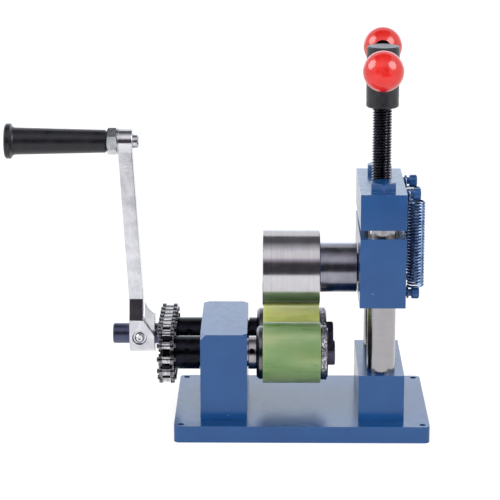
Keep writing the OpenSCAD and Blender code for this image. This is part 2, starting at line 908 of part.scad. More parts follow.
module rear_shaft() { lower_shaft(1, crank_left); }
module rear_sprocket() { sprocket(1); }
module rear_set_screws() { set_screws(1); }
module rear_collar() { collar(1); }
module rear_bearing_inners() { shaft_bearing_inners(1); }
module rear_key() { roller_key(1); }
module rear_roller_core() { roller_core(1); }
module rear_roller_tyre() { roller_tyre(1); }
module rear_end_bolt() { end_bolt(1); }

module front_shaft() { lower_shaft(-1, front_shaft_left); }
module front_sprocket() { sprocket(-1); }
module front_set_screws() { set_screws(-1); }
module front_collar() { collar(-1); }
module front_bearing_inners() { shaft_bearing_inners(-1); }
module front_key() { roller_key(-1); }
module front_roller_core() { roller_core(-1); }
module front_roller_tyre() { roller_tyre(-1); }
module front_end_bolt() { end_bolt(-1); }

// Crank

crank_screw_x = (crank_left + crank_right) / 2 - crank_screw_off;
crank_dimple_depth = 1;

// Side of the crank seen from the front, in X and Z about the shaft
module crank_front_view() {
    hub_r = crank_hub_d / 2;
    flare_z = hub_r + hub_flare_rise;
    difference() {
        polygon([
            [crank_left, -hub_r], [crank_right, -hub_r], [crank_right, flare_z],
            [crank_left + arm_t, flare_z], [eye_right, eye_z - eye_d / 2], [eye_right, eye_z + eye_d / 2],
            [eye_left, eye_z + eye_d / 2], [eye_left, eye_z - eye_d / 2], [crank_left, flare_z]
        ]);
        translate([crank_left + arm_t + hub_flare_r, flare_z]) circle(r = hub_flare_r);
    }
}

// Crank seen along the shaft, in Y and Z: a tapered arm that flares to the flat front of its hub
module crank_side_view() {
    hub_r = crank_hub_d / 2;
    flare_z = hub_r + hub_flare_rise;
    circle(r = hub_r);
    translate([0, eye_z]) circle(r = eye_d / 2);
    polygon([
        [-hub_r, 0], [hub_r, 0], [hub_r, hub_r], [arm_foot_w / 2, flare_z], [arm_w / 2, eye_z],
        [-arm_w / 2, eye_z], [-arm_foot_w / 2, flare_z], [-hub_r, hub_r]
    ]);
}

module crank_arm() {
    hub_r = crank_hub_d / 2;
    color(chrome) at_shaft(1) difference() {
        intersection() {
            translate([0, crank_hub_d, 0]) rotate([90, 0, 0]) linear_extrude(2 * crank_hub_d)
                crank_front_view();
            plate_x(eye_left - overrun, crank_right - eye_left + 2 * overrun) crank_side_view();
        }
        bar_x(crank_left - overrun, crank_hub_l + 2 * overrun, shaft_d + 2 * seat_gap);
        translate([0, 0, eye_z])
            bar_x(eye_left - overrun, arm_t + 2 * overrun, grip_bolt_d + 2 * seat_gap);
        translate([crank_screw_x, 0, 0]) rotate([90, 0, 0]) {
            cylinder(h = crank_hub_d, d = crank_screw_d + 2 * seat_gap);
            translate([0, 0, hub_r - crank_screw_recess])
                cylinder(h = crank_hub_d, d = crank_screw_recess_d);
        }
    }
}

// Clamping screw of the crank, its round head in the front recess
module crank_screw() {
    tip = shaft_d / 2 - crank_dimple_depth + running_gap;
    seat = crank_hub_d / 2 - crank_screw_recess;
    color(chrome) at_shaft(1) translate([crank_screw_x, 0, 0]) rotate([90, 0, 0]) difference() {
        union() {
            translate([0, 0, tip]) cylinder(h = seat - tip + overrun, d = crank_screw_d);
            translate([0, 0, seat]) rotate_extrude() polygon([
                [0, 0], [crank_screw_head_d / 2, 0], [crank_screw_head_d / 2, crank_screw_head_h / 2],
                [crank_screw_head_d / 3, crank_screw_head_h], [0, crank_screw_head_h]
            ]);
        }
        translate([0, 0, seat + crank_screw_head_h / 2])
            cylinder(h = crank_screw_head_h, d = crank_screw_d / 2, $fn = hex_sides);
    }
}

module at_grip() {
    at_shaft(1) translate([0, 0, eye_z]) children();
}

// Long bolt that the grip turns on, screwed through the crank's eye
module grip_bolt() {
    head_x = grip_left + grip_head_recess - free_gap - grip_head_h;
    bolt_right = eye_right + bolt_past_eye;
    color(dark_steel) at_grip() difference() {
        union() {
            chamfered_bar_x(head_x, grip_head_h, grip_head_d, turned_chamfer);
            chamfered_bar_x(head_x + grip_head_h - overrun, bolt_right - head_x - grip_head_h + overrun,
                grip_bolt_d, turned_chamfer);
        }
        hex_x(head_x - overrun, overrun + grip_head_h / 2, m6_socket);
    }
}

// Lock nut and its washer against the crank's eye
module grip_nut() {
    color(bright_steel) at_grip() difference() {
        union() {
            hex_x(nut_left, grip_nut_h, grip_nut_af);
            bar_x(nut_left + grip_nut_h, nut_washer_t, nut_washer_d);
        }
        bar_x(nut_left - overrun, grip_nut_h + nut_washer_t + 2 * overrun, grip_bolt_d + 2 * seat_gap);
    }
}

// Grip: a tapered handle with a flange at its outer end
module crank_grip() {
    flange_r = grip_flange_d / 2;
    body_r = grip_d / 2;
    small_r = grip_small_d / 2;
    fillet = [
        for (a = [0 : grip_fillet_step : 90])
            [body_r + grip_fillet - grip_fillet * sin(a), grip_flange_t + grip_fillet - grip_fillet * cos(a)]
    ];
    color(grip_black) at_grip() difference() {
        translate([grip_left, 0, 0]) rotate([0, 90, 0]) rotate_extrude() polygon(concat(
            [[0, 0], [flange_r - grip_edge, 0], [flange_r, grip_edge],
             [flange_r, grip_flange_t - grip_edge / 2], [flange_r - grip_edge / 2, grip_flange_t]],
            [for (p = fillet) if (p[0] < flange_r - grip_edge / 2) p],
            [[small_r, grip_l - grip_edge], [small_r - grip_edge, grip_l], [0, grip_l]]
        ));
        bar_x(grip_left - overrun, grip_l + 2 * overrun, grip_bolt_d + 2 * running_gap);
        bar_x(grip_left - overrun, overrun + grip_head_recess, grip_head_d + 2 * free_gap);
    }
}

// Press head

module press_block() {
    bush_seat = bush_od + 2 * seat_gap;
    color(mill_blue) difference() {
        translate([block_left, -block_d / 2, press_bottom]) cube([block_w, block_d, press_block_h]);
        column_places() {
            translate([0, 0, press_bottom - overrun])
                cylinder(h = press_block_h + 2 * overrun, d = column_d + 2 * bush_relief);
            translate([0, 0, press_bottom - overrun]) cylinder(h = overrun + bush_l, d = bush_seat);
            translate([0, 0, press_top - bush_l]) cylinder(h = overrun + bush_l, d = bush_seat);
        }
        at_upper() {
            bar_x(block_left - overrun, block_w + 2 * overrun, bearing_od - 2 * ring_land);
            bar_x(block_left - overrun, overrun + bearing_w, bearing_od + 2 * seat_gap);
            bar_x(head_bearing_right - bearing_w, overrun + bearing_w + bearing_recess,
                bearing_od + 2 * seat_gap);
        }
        translate([column_offset, 0, press_top - recess_depth])
            cylinder(h = recess_depth + overrun, d = recess_d);
        spring_screw_places(lower_screw_z)
            bar_x(block_right - spring_bite, spring_bite + overrun, spring_screw_d + 2 * seat_gap);
    }
}

module column_bushes() {
    color(bronze) column_places() for (z = [press_bottom, press_top - bush_l])
        translate([0, 0, z]) difference() {
            cylinder(h = bush_l, d = bush_od);
            translate([0, 0, -overrun])
                cylinder(h = bush_l + 2 * overrun, d = column_d + 2 * running_gap);
        }
}

module lower_spring_screws() { spring_screws(lower_screw_z); }

module head_bearing_outers() {
    color(bright_steel) at_upper() {
        bearing_outer(block_left);
        bearing_outer(head_bearing_right - bearing_w);
    }
}

module head_bearing_balls() {
    color(bright_steel) at_upper() {
        bearing_balls(block_left);
        bearing_balls(head_bearing_right - bearing_w);
    }
}

module head_bearing_shields() {
    color(dark_steel) at_upper() {
        bearing_shields(block_left);
        bearing_shields(head_bearing_right - bearing_w);
    }
}

// Hard disc that the pressure screw's tip bears on
module thrust_pad() {
    color(dark_steel) translate([column_offset, 0, press_top - recess_depth])
        cylinder(h = pad_t, d = recess_d - 2 * pad_play);
}

// Upper roller

spigot_left = roller_left + roller_recess + shaft_end_short;
journal_right = head_bearing_right - shaft_end_short;

module upper_keyway(headroom) {
    translate([spigot_left + 2 * key_inset - headroom, -key_w / 2, spigot_d / 2 - key_sink])
        cube([key_l / 2 + 2 * headroom, key_w, key_w + headroom]);
}

module upper_roller() {
    color(bright_steel) at_upper() difference() {
        chamfered_bar_x(roller_left, roller_l, roller_d, turned_chamfer / 2);
        bar_x(roller_left - overrun, roller_l + 2 * overrun, spigot_d + 2 * seat_gap);
        bar_x(roller_left - overrun, overrun + roller_recess, roller_recess_d);
        upper_keyway(key_headroom);
    }
}

module upper_shaft() {
    color(dark_steel) at_upper() difference() {
        union() {
            bar_x(spigot_left, boss_left - spigot_left + overrun, spigot_d);
            bar_x(boss_left, boss_l - turned_chamfer, boss_d);
            bar_x(boss_left + boss_l - turned_chamfer - overrun, turned_chamfer + overrun, step_d);
            bar_x(block_left - overrun, journal_right - block_left + overrun, shaft_d);
        }
        upper_keyway(0);
        bar_x(spigot_left - overrun, overrun + screw_bite + hole_spare, m8_d + 2 * seat_gap);
        bar_x(journal_right - screw_bite - hole_spare, screw_bite + hole_spare + overrun,
            m6_d + 2 * seat_gap);
    }
}

module upper_key() {
    color(dark_steel) at_upper() upper_keyway(0);
}

module head_bearing_inners() {
    color(bright_steel) at_upper() {
        bearing_inner(block_left);
        bearing_inner(head_bearing_right - bearing_w);
    }
}

// Washers and low round head screws that hold the roller and the shaft
module upper_end_screws() {
    floor_x = roller_left + roller_recess;
    color(dark_steel) at_upper() {
        difference() {
            union() {
                bar_x(floor_x - roller_washer_t, roller_washer_t, roller_washer_d);
                chamfered_bar_x(floor_x - roller_washer_t - m8_low_head_h, m8_low_head_h,
                    m8_low_head_d, turned_chamfer);
                bar_x(floor_x - overrun, overrun + shaft_end_short + screw_bite, m8_d);
            }
            hex_x(floor_x - roller_washer_t - m8_low_head_h - overrun, overrun + m8_low_head_h / 2,
                m8_socket);
        }
        difference() {
            union() {
                bar_x(head_bearing_right, shaft_washer_t, step_d);
                chamfered_bar_x(head_bearing_right + shaft_washer_t, m6_low_head_h, m6_low_head_d,
                    turned_chamfer);
                bar_x(journal_right - screw_bite, screw_bite + shaft_end_short + overrun, m6_d);
            }
            hex_x(head_bearing_right + shaft_washer_t + m6_low_head_h / 2, m6_low_head_h, m6_socket);
        }
    }
}

// Pressure screw

// Moves a piece drawn about the screw's axis to its place, turned as posed
module at_screw(z) {
    translate([column_offset, 0, z]) rotate([0, 0, bar_turn]) children();
}

module pressure_screw() {
    pad_top = press_top - recess_depth + pad_t + running_gap;
    thread_bottom = press_top + turned_chamfer;
    r = screw_d / 2;
    c = turned_chamfer;
    color(black_steel) translate([column_offset, 0, 0]) difference() {
        rotate_extrude() polygon([
            [0, pad_top], [tip_d / 2 - c, pad_top], [tip_d / 2, pad_top + c], [tip_d / 2, thread_bottom],
            [r - c, thread_bottom], [r, thread_bottom + c], [r, hub_bottom + screw_in_hub],
            [0, hub_bottom + screw_in_hub]
        ]);
        hub_pin_hole();
    }
}

module hub_pin_hole() {
    translate([0, 0, hub_bottom + hub_pin_rise]) rotate([0, 0, bar_turn]) rotate([0, 90, 0])
        cylinder(h = hub_d + 2 * overrun, d = hub_pin_d + 2 * seat_gap, center = true);
}

// Hub with its pin and the cross hole for the bar
module screw_hub() {
    r = hub_d / 2;
    c = turned_chamfer;
    bore_top = screw_in_hub + free_gap;
    color(black_steel) at_screw(hub_bottom) {
        difference() {
            rotate_extrude() polygon([[0, 0], [r - c, 0], [r, c], [r, hub_h - c], [r - c, hub_h], [0, hub_h]]);
            translate([0, 0, -overrun]) cylinder(h = overrun + bore_top, d = screw_d + 2 * seat_gap);
            translate([0, 0, hub_pin_rise]) rotate([0, 90, 0])
                cylinder(h = hub_d + 2 * overrun, d = hub_pin_d + 2 * seat_gap, center = true);
            translate([0, 0, hub_h - bar_drop]) rotate([90, 0, 0])
                cylinder(h = hub_d + 2 * overrun, d = bar_d + 2 * seat_gap, center = true);
        }
        translate([0, 0, hub_pin_rise]) rotate([0, 90, 0])
            cylinder(h = hub_d - 2 * turned_chamfer, d = hub_pin_d, center = true);
    }
}

knob_flat = sqrt(pow(knob_d / 2, 2) - pow(knob_flat_d / 2, 2));

// Cross bar with a thinner end inside each knob
module cross_bar() {
    shoulder = knob_spacing - 2 * knob_flat;
    color(black_steel) at_screw(bar_z) rotate([90, 0, 0]) {
        cylinder(h = shoulder, d = bar_d, center = true);
        cylinder(h = knob_spacing + 2 * spigot_past_centre, d = spigot_bar_d, center = true);
    }
}

module ball_knobs() {
    color(ball_red) at_screw(bar_z) for (sy = [-1, 1])
        translate([0, sy * knob_spacing / 2, 0]) rotate([-sy * 90, 0, 0]) difference() {
            sphere(d = knob_d, $fn = 96);
            translate([-knob_d, -knob_d, -knob_flat - knob_d]) cube([2 * knob_d, 2 * knob_d, knob_d]);
            translate([0, 0, -knob_d])
                cylinder(h = knob_d + spigot_past_centre + free_gap, d = spigot_bar_d + 2 * seat_gap);
        }
}

// Springs: a coil with an open hook at each end round its screw's shank. Each point of the wire
// is [place, first normal, second normal], and the hooks lie in the plane x = hook_x.

coil_r = (spring_od - spring_wire) / 2;
hook_x = spring_x - coil_r;
hook_sag = spring_screw_d / 2 + wire_play + spring_wire / 2 - hook_r;
coil_top = upper_screw_z + hook_sag - hook_r;
coil_bottom = lower_screw_z - hook_sag + hook_r;
coil_rise = (coil_top - coil_bottom) / spring_turns;

function coil_ring(k, y) =
    let (a = 180 + k * 360 / rings_per_turn,
         run = [-sin(a) * coil_r, cos(a) * coil_r, coil_rise / (2 * PI)],
         along = run / norm(run),
         side = [cos(a), sin(a), 0])
    [[spring_x + coil_r * cos(a), y + coil_r * sin(a), coil_bottom + k * coil_rise / rings_per_turn],
     side, cross(along, side)];

function hook_ring(a, y, z, direction) =
    let (along = direction * [0, sin(a), -cos(a)], side = [-1, 0, 0])
    [[hook_x, y + hook_r * cos(a), z + hook_r * sin(a)], side, cross(along, side)];

function wire_rings(y) = concat(
    [for (a = [90 - hook_angle : hook_step : 90 - hook_step / 2])
        hook_ring(a, y, lower_screw_z - hook_sag, -1)],
    [for (k = [0 : spring_turns * rings_per_turn]) coil_ring(k, y)],
    [for (a = [-90 - hook_step : -hook_step : -90 - hook_angle])
        hook_ring(a, y, upper_screw_z + hook_sag, 1)]
);

// Least gap of the wire to itself, over points at least half a turn apart
function wire_gap(rings) = min([
    for (i = [0 : len(rings) - 1 - rings_per_turn / 2], j = [i + rings_per_turn / 2 : len(rings) - 1])
        norm(rings[i][0] - rings[j][0])
]) - spring_wire;

module spring(sy) {
    rings = wire_rings(sy * spring_y);
    count = len(rings);
    points = [
        for (ring = rings, k = [0 : wire_sides - 1])
            ring[0] + spring_wire / 2 * (cos(k * 360 / wire_sides) * ring[1]
                + sin(k * 360 / wire_sides) * ring[2])
    ];
    sides = [
        for (i = [0 : count - 2], k = [0 : wire_sides - 1])
            let (next = (k + 1) % wire_sides, here = i * wire_sides, ahead = here + wire_sides)
            each [[here + k, here + next, ahead + next], [here + k, ahead + next, ahead + k]]
    ];
    ends = [
        for (k = [1 : wire_sides - 2])
            each [[0, k + 1, k], [(count - 1) * wire_sides, (count - 1) * wire_sides + k,
                (count - 1) * wire_sides + k + 1]]
    ];
    echo(least_gap_of_the_wire = wire_gap(rings));
    color(mill_blue) polyhedron(points, concat(sides, ends));
}

module front_spring() { spring(-1); }

module rear_spring() { spring(1); }

base_plate();
bearing_post();
column_foot();
front_column();
rear_column();
top_block();
column_bolts();
column_screws();
base_screws();
upper_spring_screws();
post_bearing_outers();
post_bearing_balls();
post_bearing_shields();
chain_inner_plates();
chain_bushes();
chain_rollers();
chain_pins();
chain_outer_plates();
chain_clip();
front_spring();
rear_spring();
rear_shaft();
rear_sprocket();
rear_set_screws();
rear_collar();
rear_bearing_inners();
rear_key();
rear_roller_core();
rear_roller_tyre();
rear_end_bolt();
crank_arm();
crank_screw();
grip_bolt();
grip_nut();
crank_grip();
front_shaft();
front_sprocket();
front_set_screws();
front_collar();
front_bearing_inners();
front_key();
front_roller_core();
front_roller_tyre();
front_end_bolt();
press_block();
column_bushes();
lower_spring_screws();
head_bearing_outers();
head_bearing_balls();
head_bearing_shields();
thrust_pad();
upper_roller();
upper_shaft();
upper_key();
head_bearing_inners();
upper_end_screws();
pressure_screw();
screw_hub();
cross_bar();
ball_knobs();
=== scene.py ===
import json
import math
import bmesh
import bpy
from mathutils import Matrix, Vector


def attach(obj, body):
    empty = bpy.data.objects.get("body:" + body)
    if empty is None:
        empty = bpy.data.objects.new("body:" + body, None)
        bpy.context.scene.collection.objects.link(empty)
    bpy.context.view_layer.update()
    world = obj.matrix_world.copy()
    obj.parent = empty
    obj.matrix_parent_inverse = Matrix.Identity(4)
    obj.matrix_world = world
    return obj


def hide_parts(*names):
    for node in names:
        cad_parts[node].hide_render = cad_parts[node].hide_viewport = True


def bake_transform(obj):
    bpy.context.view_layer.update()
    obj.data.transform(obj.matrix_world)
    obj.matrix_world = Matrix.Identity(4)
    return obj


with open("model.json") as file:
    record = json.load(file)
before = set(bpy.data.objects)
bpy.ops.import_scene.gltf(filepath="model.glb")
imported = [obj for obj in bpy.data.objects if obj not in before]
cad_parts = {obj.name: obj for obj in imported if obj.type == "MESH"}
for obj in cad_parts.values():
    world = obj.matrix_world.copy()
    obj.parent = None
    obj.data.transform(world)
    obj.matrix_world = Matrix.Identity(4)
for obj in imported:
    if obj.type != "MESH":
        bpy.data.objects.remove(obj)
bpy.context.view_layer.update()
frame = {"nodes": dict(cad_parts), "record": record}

MM = 0.001

# Places in the shared frame, in millimetres
SHAFT_Y = 23.8125  # the lower shafts lie this far in front of the middle and behind it
SHAFT_Z = 55.5
ROLLER_Z = 112.2  # the upper roller's axis
SCREW_X = 56.2  # the pressure screw and both columns
COLUMN_Y = 29.9
SPRING_Y = 22.0
GRIP_Z = 199.0  # the crank's eye
HEAD_FLATS = 17.0  # spanner size of the hex heads and the lock nut

nodes = frame["nodes"]
slot_of_node = {part["node"]: part["material_slot"] for part in frame["record"]["subparts"]}


# Colours, patterns and shader nodes

def srgb(code):
    """Turns an sRGB hex colour into linear light."""
    channels = [int(code[i:i + 2], 16) / 255 for i in (1, 3, 5)]
    return [c / 12.92 if c <= 0.04045 else ((c + 0.055) / 1.055) ** 2.4 for c in channels] + [1.0]


def per(millimetres):
    """Gives the texture scale at which a pattern repeats about every so many millimetres."""
    return 1 / (millimetres * MM)


def add(tree, kind, inputs=None, out=None, **settings):
    """Adds one node with its settings, fills its sockets with values or other nodes' outputs, and gives back its
    first output in use, or the one named out."""
    node = tree.nodes.new(kind)
    for name, value in settings.items():
        setattr(node, name, value)
    for name, value in (inputs or {}).items():
        socket = node.inputs[name] if isinstance(name, int) else next(
            s for s in node.inputs if s.enabled and s.name == name)
        if isinstance(value, bpy.types.NodeSocket):
            tree.links.new(value, socket)
        else:
            socket.default_value = value
    if out:
        return node.outputs[out]
    return next((s for s in node.outputs if s.enabled), None)


def start_finish(name):
    """Begins a material, and gives it with its node tree and the place of each point of the part in metres."""
    material = bpy.data.materials.new(name)
    material.use_nodes = True
    material.node_tree.nodes.clear()
    return material, material.node_tree, add(material.node_tree, "ShaderNodeTexCoord", out="Object")


def lathe_rings(tree, points, axis, centre, spacing):
    """Gives the fine rings that a tool leaves on work turned about an axis, from each point's place along the axis
    and its distance from it."""
    across = [name for name in "XYZ" if name != axis]
    squares = []
    for name, at in zip(across, centre):
        place = add(tree, "ShaderNodeSeparateXYZ", {"Vector": points}, out=name)
        offset = add(tree, "ShaderNodeMath", {0: place, 1: at * MM}, operation="SUBTRACT")
        squares.append(add(tree, "ShaderNodeMath", {0: offset, 1: offset}, operation="MULTIPLY"))
    squared = add(tree, "ShaderNodeMath", {0: squares[0], 1: squares[1]}, operation="ADD")
    radius = add(tree, "ShaderNodeMath", {0: squared}, operation="SQRT")
    along = add(tree, "ShaderNodeSeparateXYZ", {"Vector": points}, out=axis)
    place = add(tree, "ShaderNodeCombineXYZ", {"X": along, "Y": radius})
    return add(tree, "ShaderNodeTexNoise", {"Vector": place, "Scale": per(spacing), "Detail": 3.0},
               noise_dimensions="2D")


def edge_wear_and_painted_light(tree, points, radius, least, most, patch):
    """Gives a share along sharp edges, broken up by noise whose patches are patch millimetres wide. The oxide finishes
    use it for wear, the enamel and the chain steel for wear and painted highlight, and the polyurethane for a painted
    glow.
    """
    rounded = add(tree, "ShaderNodeBevel", {"Radius": radius * MM}, samples=6)
    plain = add(tree, "ShaderNodeNewGeometry", out="Normal")
    facing = add(tree, "ShaderNodeVectorMath", {0: rounded, 1: plain}, out="Value", operation="DOT_PRODUCT")
    turned = add(tree, "ShaderNodeMath", {0: 1.0, 1: facing}, operation="SUBTRACT")
    edge = add(tree, "ShaderNodeMapRange", {"Value": turned, "From Min": least, "From Max": most})
    cloud = add(tree, "ShaderNodeTexNoise", {"Vector": points, "Scale": per(patch)})
    broken = add(tree, "ShaderNodeMapRange", {"Value": cloud, "From Min": 0.35, "From Max": 0.6})
    return add(tree, "ShaderNodeMath", {0: edge, 1: broken}, operation="MULTIPLY")


# Finishes, each named for the real material and how its surface was made

def sprayed_enamel():
    """Blue machine enamel sprayed over milled steel: glossy, with a slight orange peel, and with a few small chips
    down to the pale primer. Along the edges it is painted paler, partly as paint worn thin and partly as a painted
    highlight."""
    material, tree, points = start_finish("sprayed enamel on milled steel")
    clouds = add(tree, "ShaderNodeTexNoise", {"Vector": points, "Scale": per(40), "Detail": 3.0})
    share = add(tree, "ShaderNodeMapRange", {"Value": clouds, "From Min": 0.35, "From Max": 0.65})
    paint = add(tree, "ShaderNodeMix", {"Factor": share, "A": srgb("#16457B"), "B": srgb("#1A4C84")},
                data_type="RGBA")
    # Paler edges: partly paint worn thin, partly a painted highlight along every edge
    wear_and_highlight = edge_wear_and_painted_light(tree, points, 0.5, 0.02, 0.25, 3)
    wear_and_highlight = add(tree, "ShaderNodeMath", {0: wear_and_highlight, 1: 0.5}, operation="MULTIPLY")
    paint = add(tree, "ShaderNodeMix", {"Factor": wear_and_highlight, "A": paint, "B": srgb("#8FA9CC")}, data_type="RGBA")
    cells = add(tree, "ShaderNodeTexVoronoi", {"Vector": points, "Scale": per(7)})
    spots = add(tree, "ShaderNodeMapRange", {"Value": cells, "From Min": 0.05, "From Max": 0.035})
    cloud = add(tree, "ShaderNodeTexNoise", {"Vector": points, "Scale": per(11)})
    where = add(tree, "ShaderNodeMapRange", {"Value": cloud, "From Min": 0.55, "From Max": 0.57})
    chips = add(tree, "ShaderNodeMath", {0: spots, 1: where}, operation="MULTIPLY")
    paint = add(tree, "ShaderNodeMix", {"Factor": chips, "A": paint, "B": srgb("#9FB0C8")}, data_type="RGBA")
    peel = add(tree, "ShaderNodeTexNoise", {"Vector": points, "Scale": per(1.3)})
    normal = add(tree, "ShaderNodeBump", {"Height": peel, "Distance": 0.006 * MM})
    normal = add(tree, "ShaderNodeBump", {"Height": chips, "Distance": 0.03 * MM, "Normal": normal}, invert=True)
    cloud = add(tree, "ShaderNodeTexNoise", {"Vector": points, "Scale": per(6)})
    rough = add(tree, "ShaderNodeMapRange", {
        "Value": cloud, "From Min": 0.3, "From Max": 0.7, "To Min": 0.16, "To Max": 0.26})
    shader = add(tree, "ShaderNodeBsdfPrincipled", {
        "Base Color": paint, "IOR": 1.5, "Roughness": rough, "Normal": normal})
    add(tree, "ShaderNodeOutputMaterial", {"Surface": shader})
    return material


def turned_steel(name, axis, centre, pale, dull, least_rough, most_rough, spacing=0.35, depth=0.004):
    """Steel turned or ground round an axis: a bright metal with fine rings, which draw its reflections out along
    the axis. The rings are drawn coarser than the real ones, so that they show."""
    material, tree, points = start_finish(name)
    rings = lathe_rings(tree, points, axis, centre, spacing)
    clouds = add(tree, "ShaderNodeTexNoise", {"Vector": points, "Scale": per(9), "Detail": 3.0})
    both = add(tree, "ShaderNodeMath", {0: rings, 1: clouds}, operation="ADD")
    share = add(tree, "ShaderNodeMapRange", {"Value": both, "From Min": 0.7, "From Max": 1.3})
    colour = add(tree, "ShaderNodeMix", {"Factor": share, "A": srgb(dull), "B": srgb(pale)}, data_type="RGBA")
    normal = add(tree, "ShaderNodeBump", {"Height": rings, "Distance": depth * MM})
    rough = add(tree, "ShaderNodeMapRange", {
        "Value": clouds, "From Min": 0.3, "From Max": 0.7, "To Min": least_rough, "To Max": most_rough})
    shader = add(tree, "ShaderNodeBsdfPrincipled", {
        "Base Color": colour, "Metallic": 1.0, "Roughness": rough, "Normal": normal})
    add(tree, "ShaderNodeOutputMaterial", {"Surface": shader})
    return material


def black_oxide(name, dark, light, grain, depth, least_rough, most_rough, metallic, bare="#6C6E76", wear=0.5,
                patch=2):
    """Steel blackened in hot salts: nearly black, with rubbed grey edges. Oiled, its thin oxide reads as a dark
    metal; rough and dry, as a matt black."""
    material, tree, points = start_finish(name)
    clouds = add(tree, "ShaderNodeTexNoise", {"Vector": points, "Scale": per(5), "Detail": 4.0})
    share = add(tree, "ShaderNodeMapRange", {"Value": clouds, "From Min": 0.35, "From Max": 0.65})
    colour = add(tree, "ShaderNodeMix", {"Factor": share, "A": srgb(dark), "B": srgb(light)}, data_type="RGBA")
    edge_share = edge_wear_and_painted_light(tree, points, 0.4, 0.03, 0.3, patch)
    edge_share = add(tree, "ShaderNodeMath", {0: edge_share, 1: wear}, operation="MULTIPLY")
    colour = add(tree, "ShaderNodeMix", {"Factor": edge_share, "A": colour, "B": srgb(bare)}, data_type="RGBA")
    bumps = add(tree, "ShaderNodeTexNoise", {"Vector": points, "Scale": per(grain), "Detail": 3.0})
    normal = add(tree, "ShaderNodeBump", {"Height": bumps, "Distance": depth * MM})
    rough = add(tree, "ShaderNodeMapRange", {
        "Value": clouds, "From Min": 0.3, "From Max": 0.7, "To Min": least_rough, "To Max": most_rough})
    shader = add(tree, "ShaderNodeBsdfPrincipled", {
        "Base Color": colour, "Metallic": metallic, "IOR": 1.5 if metallic else 1.45, "Roughness": rough,
        "Normal": normal})
    add(tree, "ShaderNodeOutputMaterial", {"Surface": shader})
    return material


def clouded_metal(name, dull, pale, cloud, grain, depth, least_rough, most_rough):
    """A bare or plated metal whose colour clouds a little, over a grain that its making left."""
    material, tree, points = start_finish(name)
    clouds = add(tree, "ShaderNodeTexNoise", {"Vector": points, "Scale": per(cloud), "Detail": 3.0})
    share = add(tree, "ShaderNodeMapRange", {"Value": clouds, "From Min": 0.38, "From Max": 0.62})
    colour = add(tree, "ShaderNodeMix", {"Factor": share, "A": srgb(dull), "B": srgb(pale)}, data_type="RGBA")
    bumps = add(tree, "ShaderNodeTexNoise", {"Vector": points, "Scale": per(grain), "Detail": 3.0})
    normal = add(tree, "ShaderNodeBump", {"Height": bumps, "Distance": depth * MM})
    rough = add(tree, "ShaderNodeMapRange", {
        "Value": bumps, "From Min": 0.3, "From Max": 0.7, "To Min": least_rough, "To Max": most_rough})
    shader = add(tree, "ShaderNodeBsdfPrincipled", {
        "Base Color": colour, "Metallic": 1.0, "Roughness": rough, "Normal": normal})
    add(tree, "ShaderNodeOutputMaterial", {"Surface": shader})
    return material


def oiled_chain_steel():
    """Stamped and tumbled chain steel: dark with oil, and near white along its edges and rollers; the edges' white is
    partly rubbed wear and partly a painted highlight.
    """
    material, tree, points = start_finish("stamped chain steel with oil")
    clouds = add(tree, "ShaderNodeTexNoise", {"Vector": points, "Scale": per(2.5), "Detail": 4.0})
    share = add(tree, "ShaderNodeMapRange", {"Value": clouds, "From Min": 0.4, "From Max": 0.6})
    colour = add(tree, "ShaderNodeMix", {"Factor": share, "A": srgb("#29282C"), "B": srgb("#7A797D")},
                 data_type="RGBA")
    # Near-white edges: partly rubbed wear, partly a painted highlight
    edge_share = edge_wear_and_painted_light(tree, points, 0.35, 0.01, 0.12, 1.5)
    colour = add(tree, "ShaderNodeMix", {"Factor": edge_share, "A": colour, "B": srgb("#EDEDEF")}, data_type="RGBA")
    normal = add(tree, "ShaderNodeBump", {"Height": clouds, "Distance": 0.01 * MM})
    rough = add(tree, "ShaderNodeMapRange", {
        "Value": clouds, "From Min": 0.35, "From Max": 0.65, "To Min": 0.12, "To Max": 0.24})
    shader = add(tree, "ShaderNodeBsdfPrincipled", {
        "Base Color": colour, "Metallic": 1.0, "Roughness": rough, "Normal": normal})
    add(tree, "ShaderNodeOutputMaterial", {"Surface": shader})
    return material


def gloss_over_colour(name, dark, light, cloud, ior, grain, depth, least_rough, most_rough):
    """A moulded surface: clouded colour under a hard gloss, with a faint unevenness."""
    material, tree, points = start_finish(name)
    clouds = add(tree, "ShaderNodeTexNoise", {"Vector": points, "Scale": per(cloud), "Detail": 3.0})
    share = add(tree, "ShaderNodeMapRange", {"Value": clouds, "From Min": 0.35, "From Max": 0.65})
    colour = add(tree, "ShaderNodeMix", {"Factor": share, "A": srgb(dark), "B": srgb(light)}, data_type="RGBA")
    bumps = add(tree, "ShaderNodeTexNoise", {"Vector": points, "Scale": per(grain)})
    normal = add(tree, "ShaderNodeBump", {"Height": bumps, "Distance": depth * MM})
    rough = add(tree, "ShaderNodeMapRange", {
        "Value": clouds, "From Min": 0.3, "From Max": 0.7, "To Min": least_rough, "To Max": most_rough})
    shader = add(tree, "ShaderNodeBsdfPrincipled", {
        "Base Color": colour, "IOR": ior, "Roughness": rough, "Normal": normal})
    add(tree, "ShaderNodeOutputMaterial", {"Surface": shader})
    return material


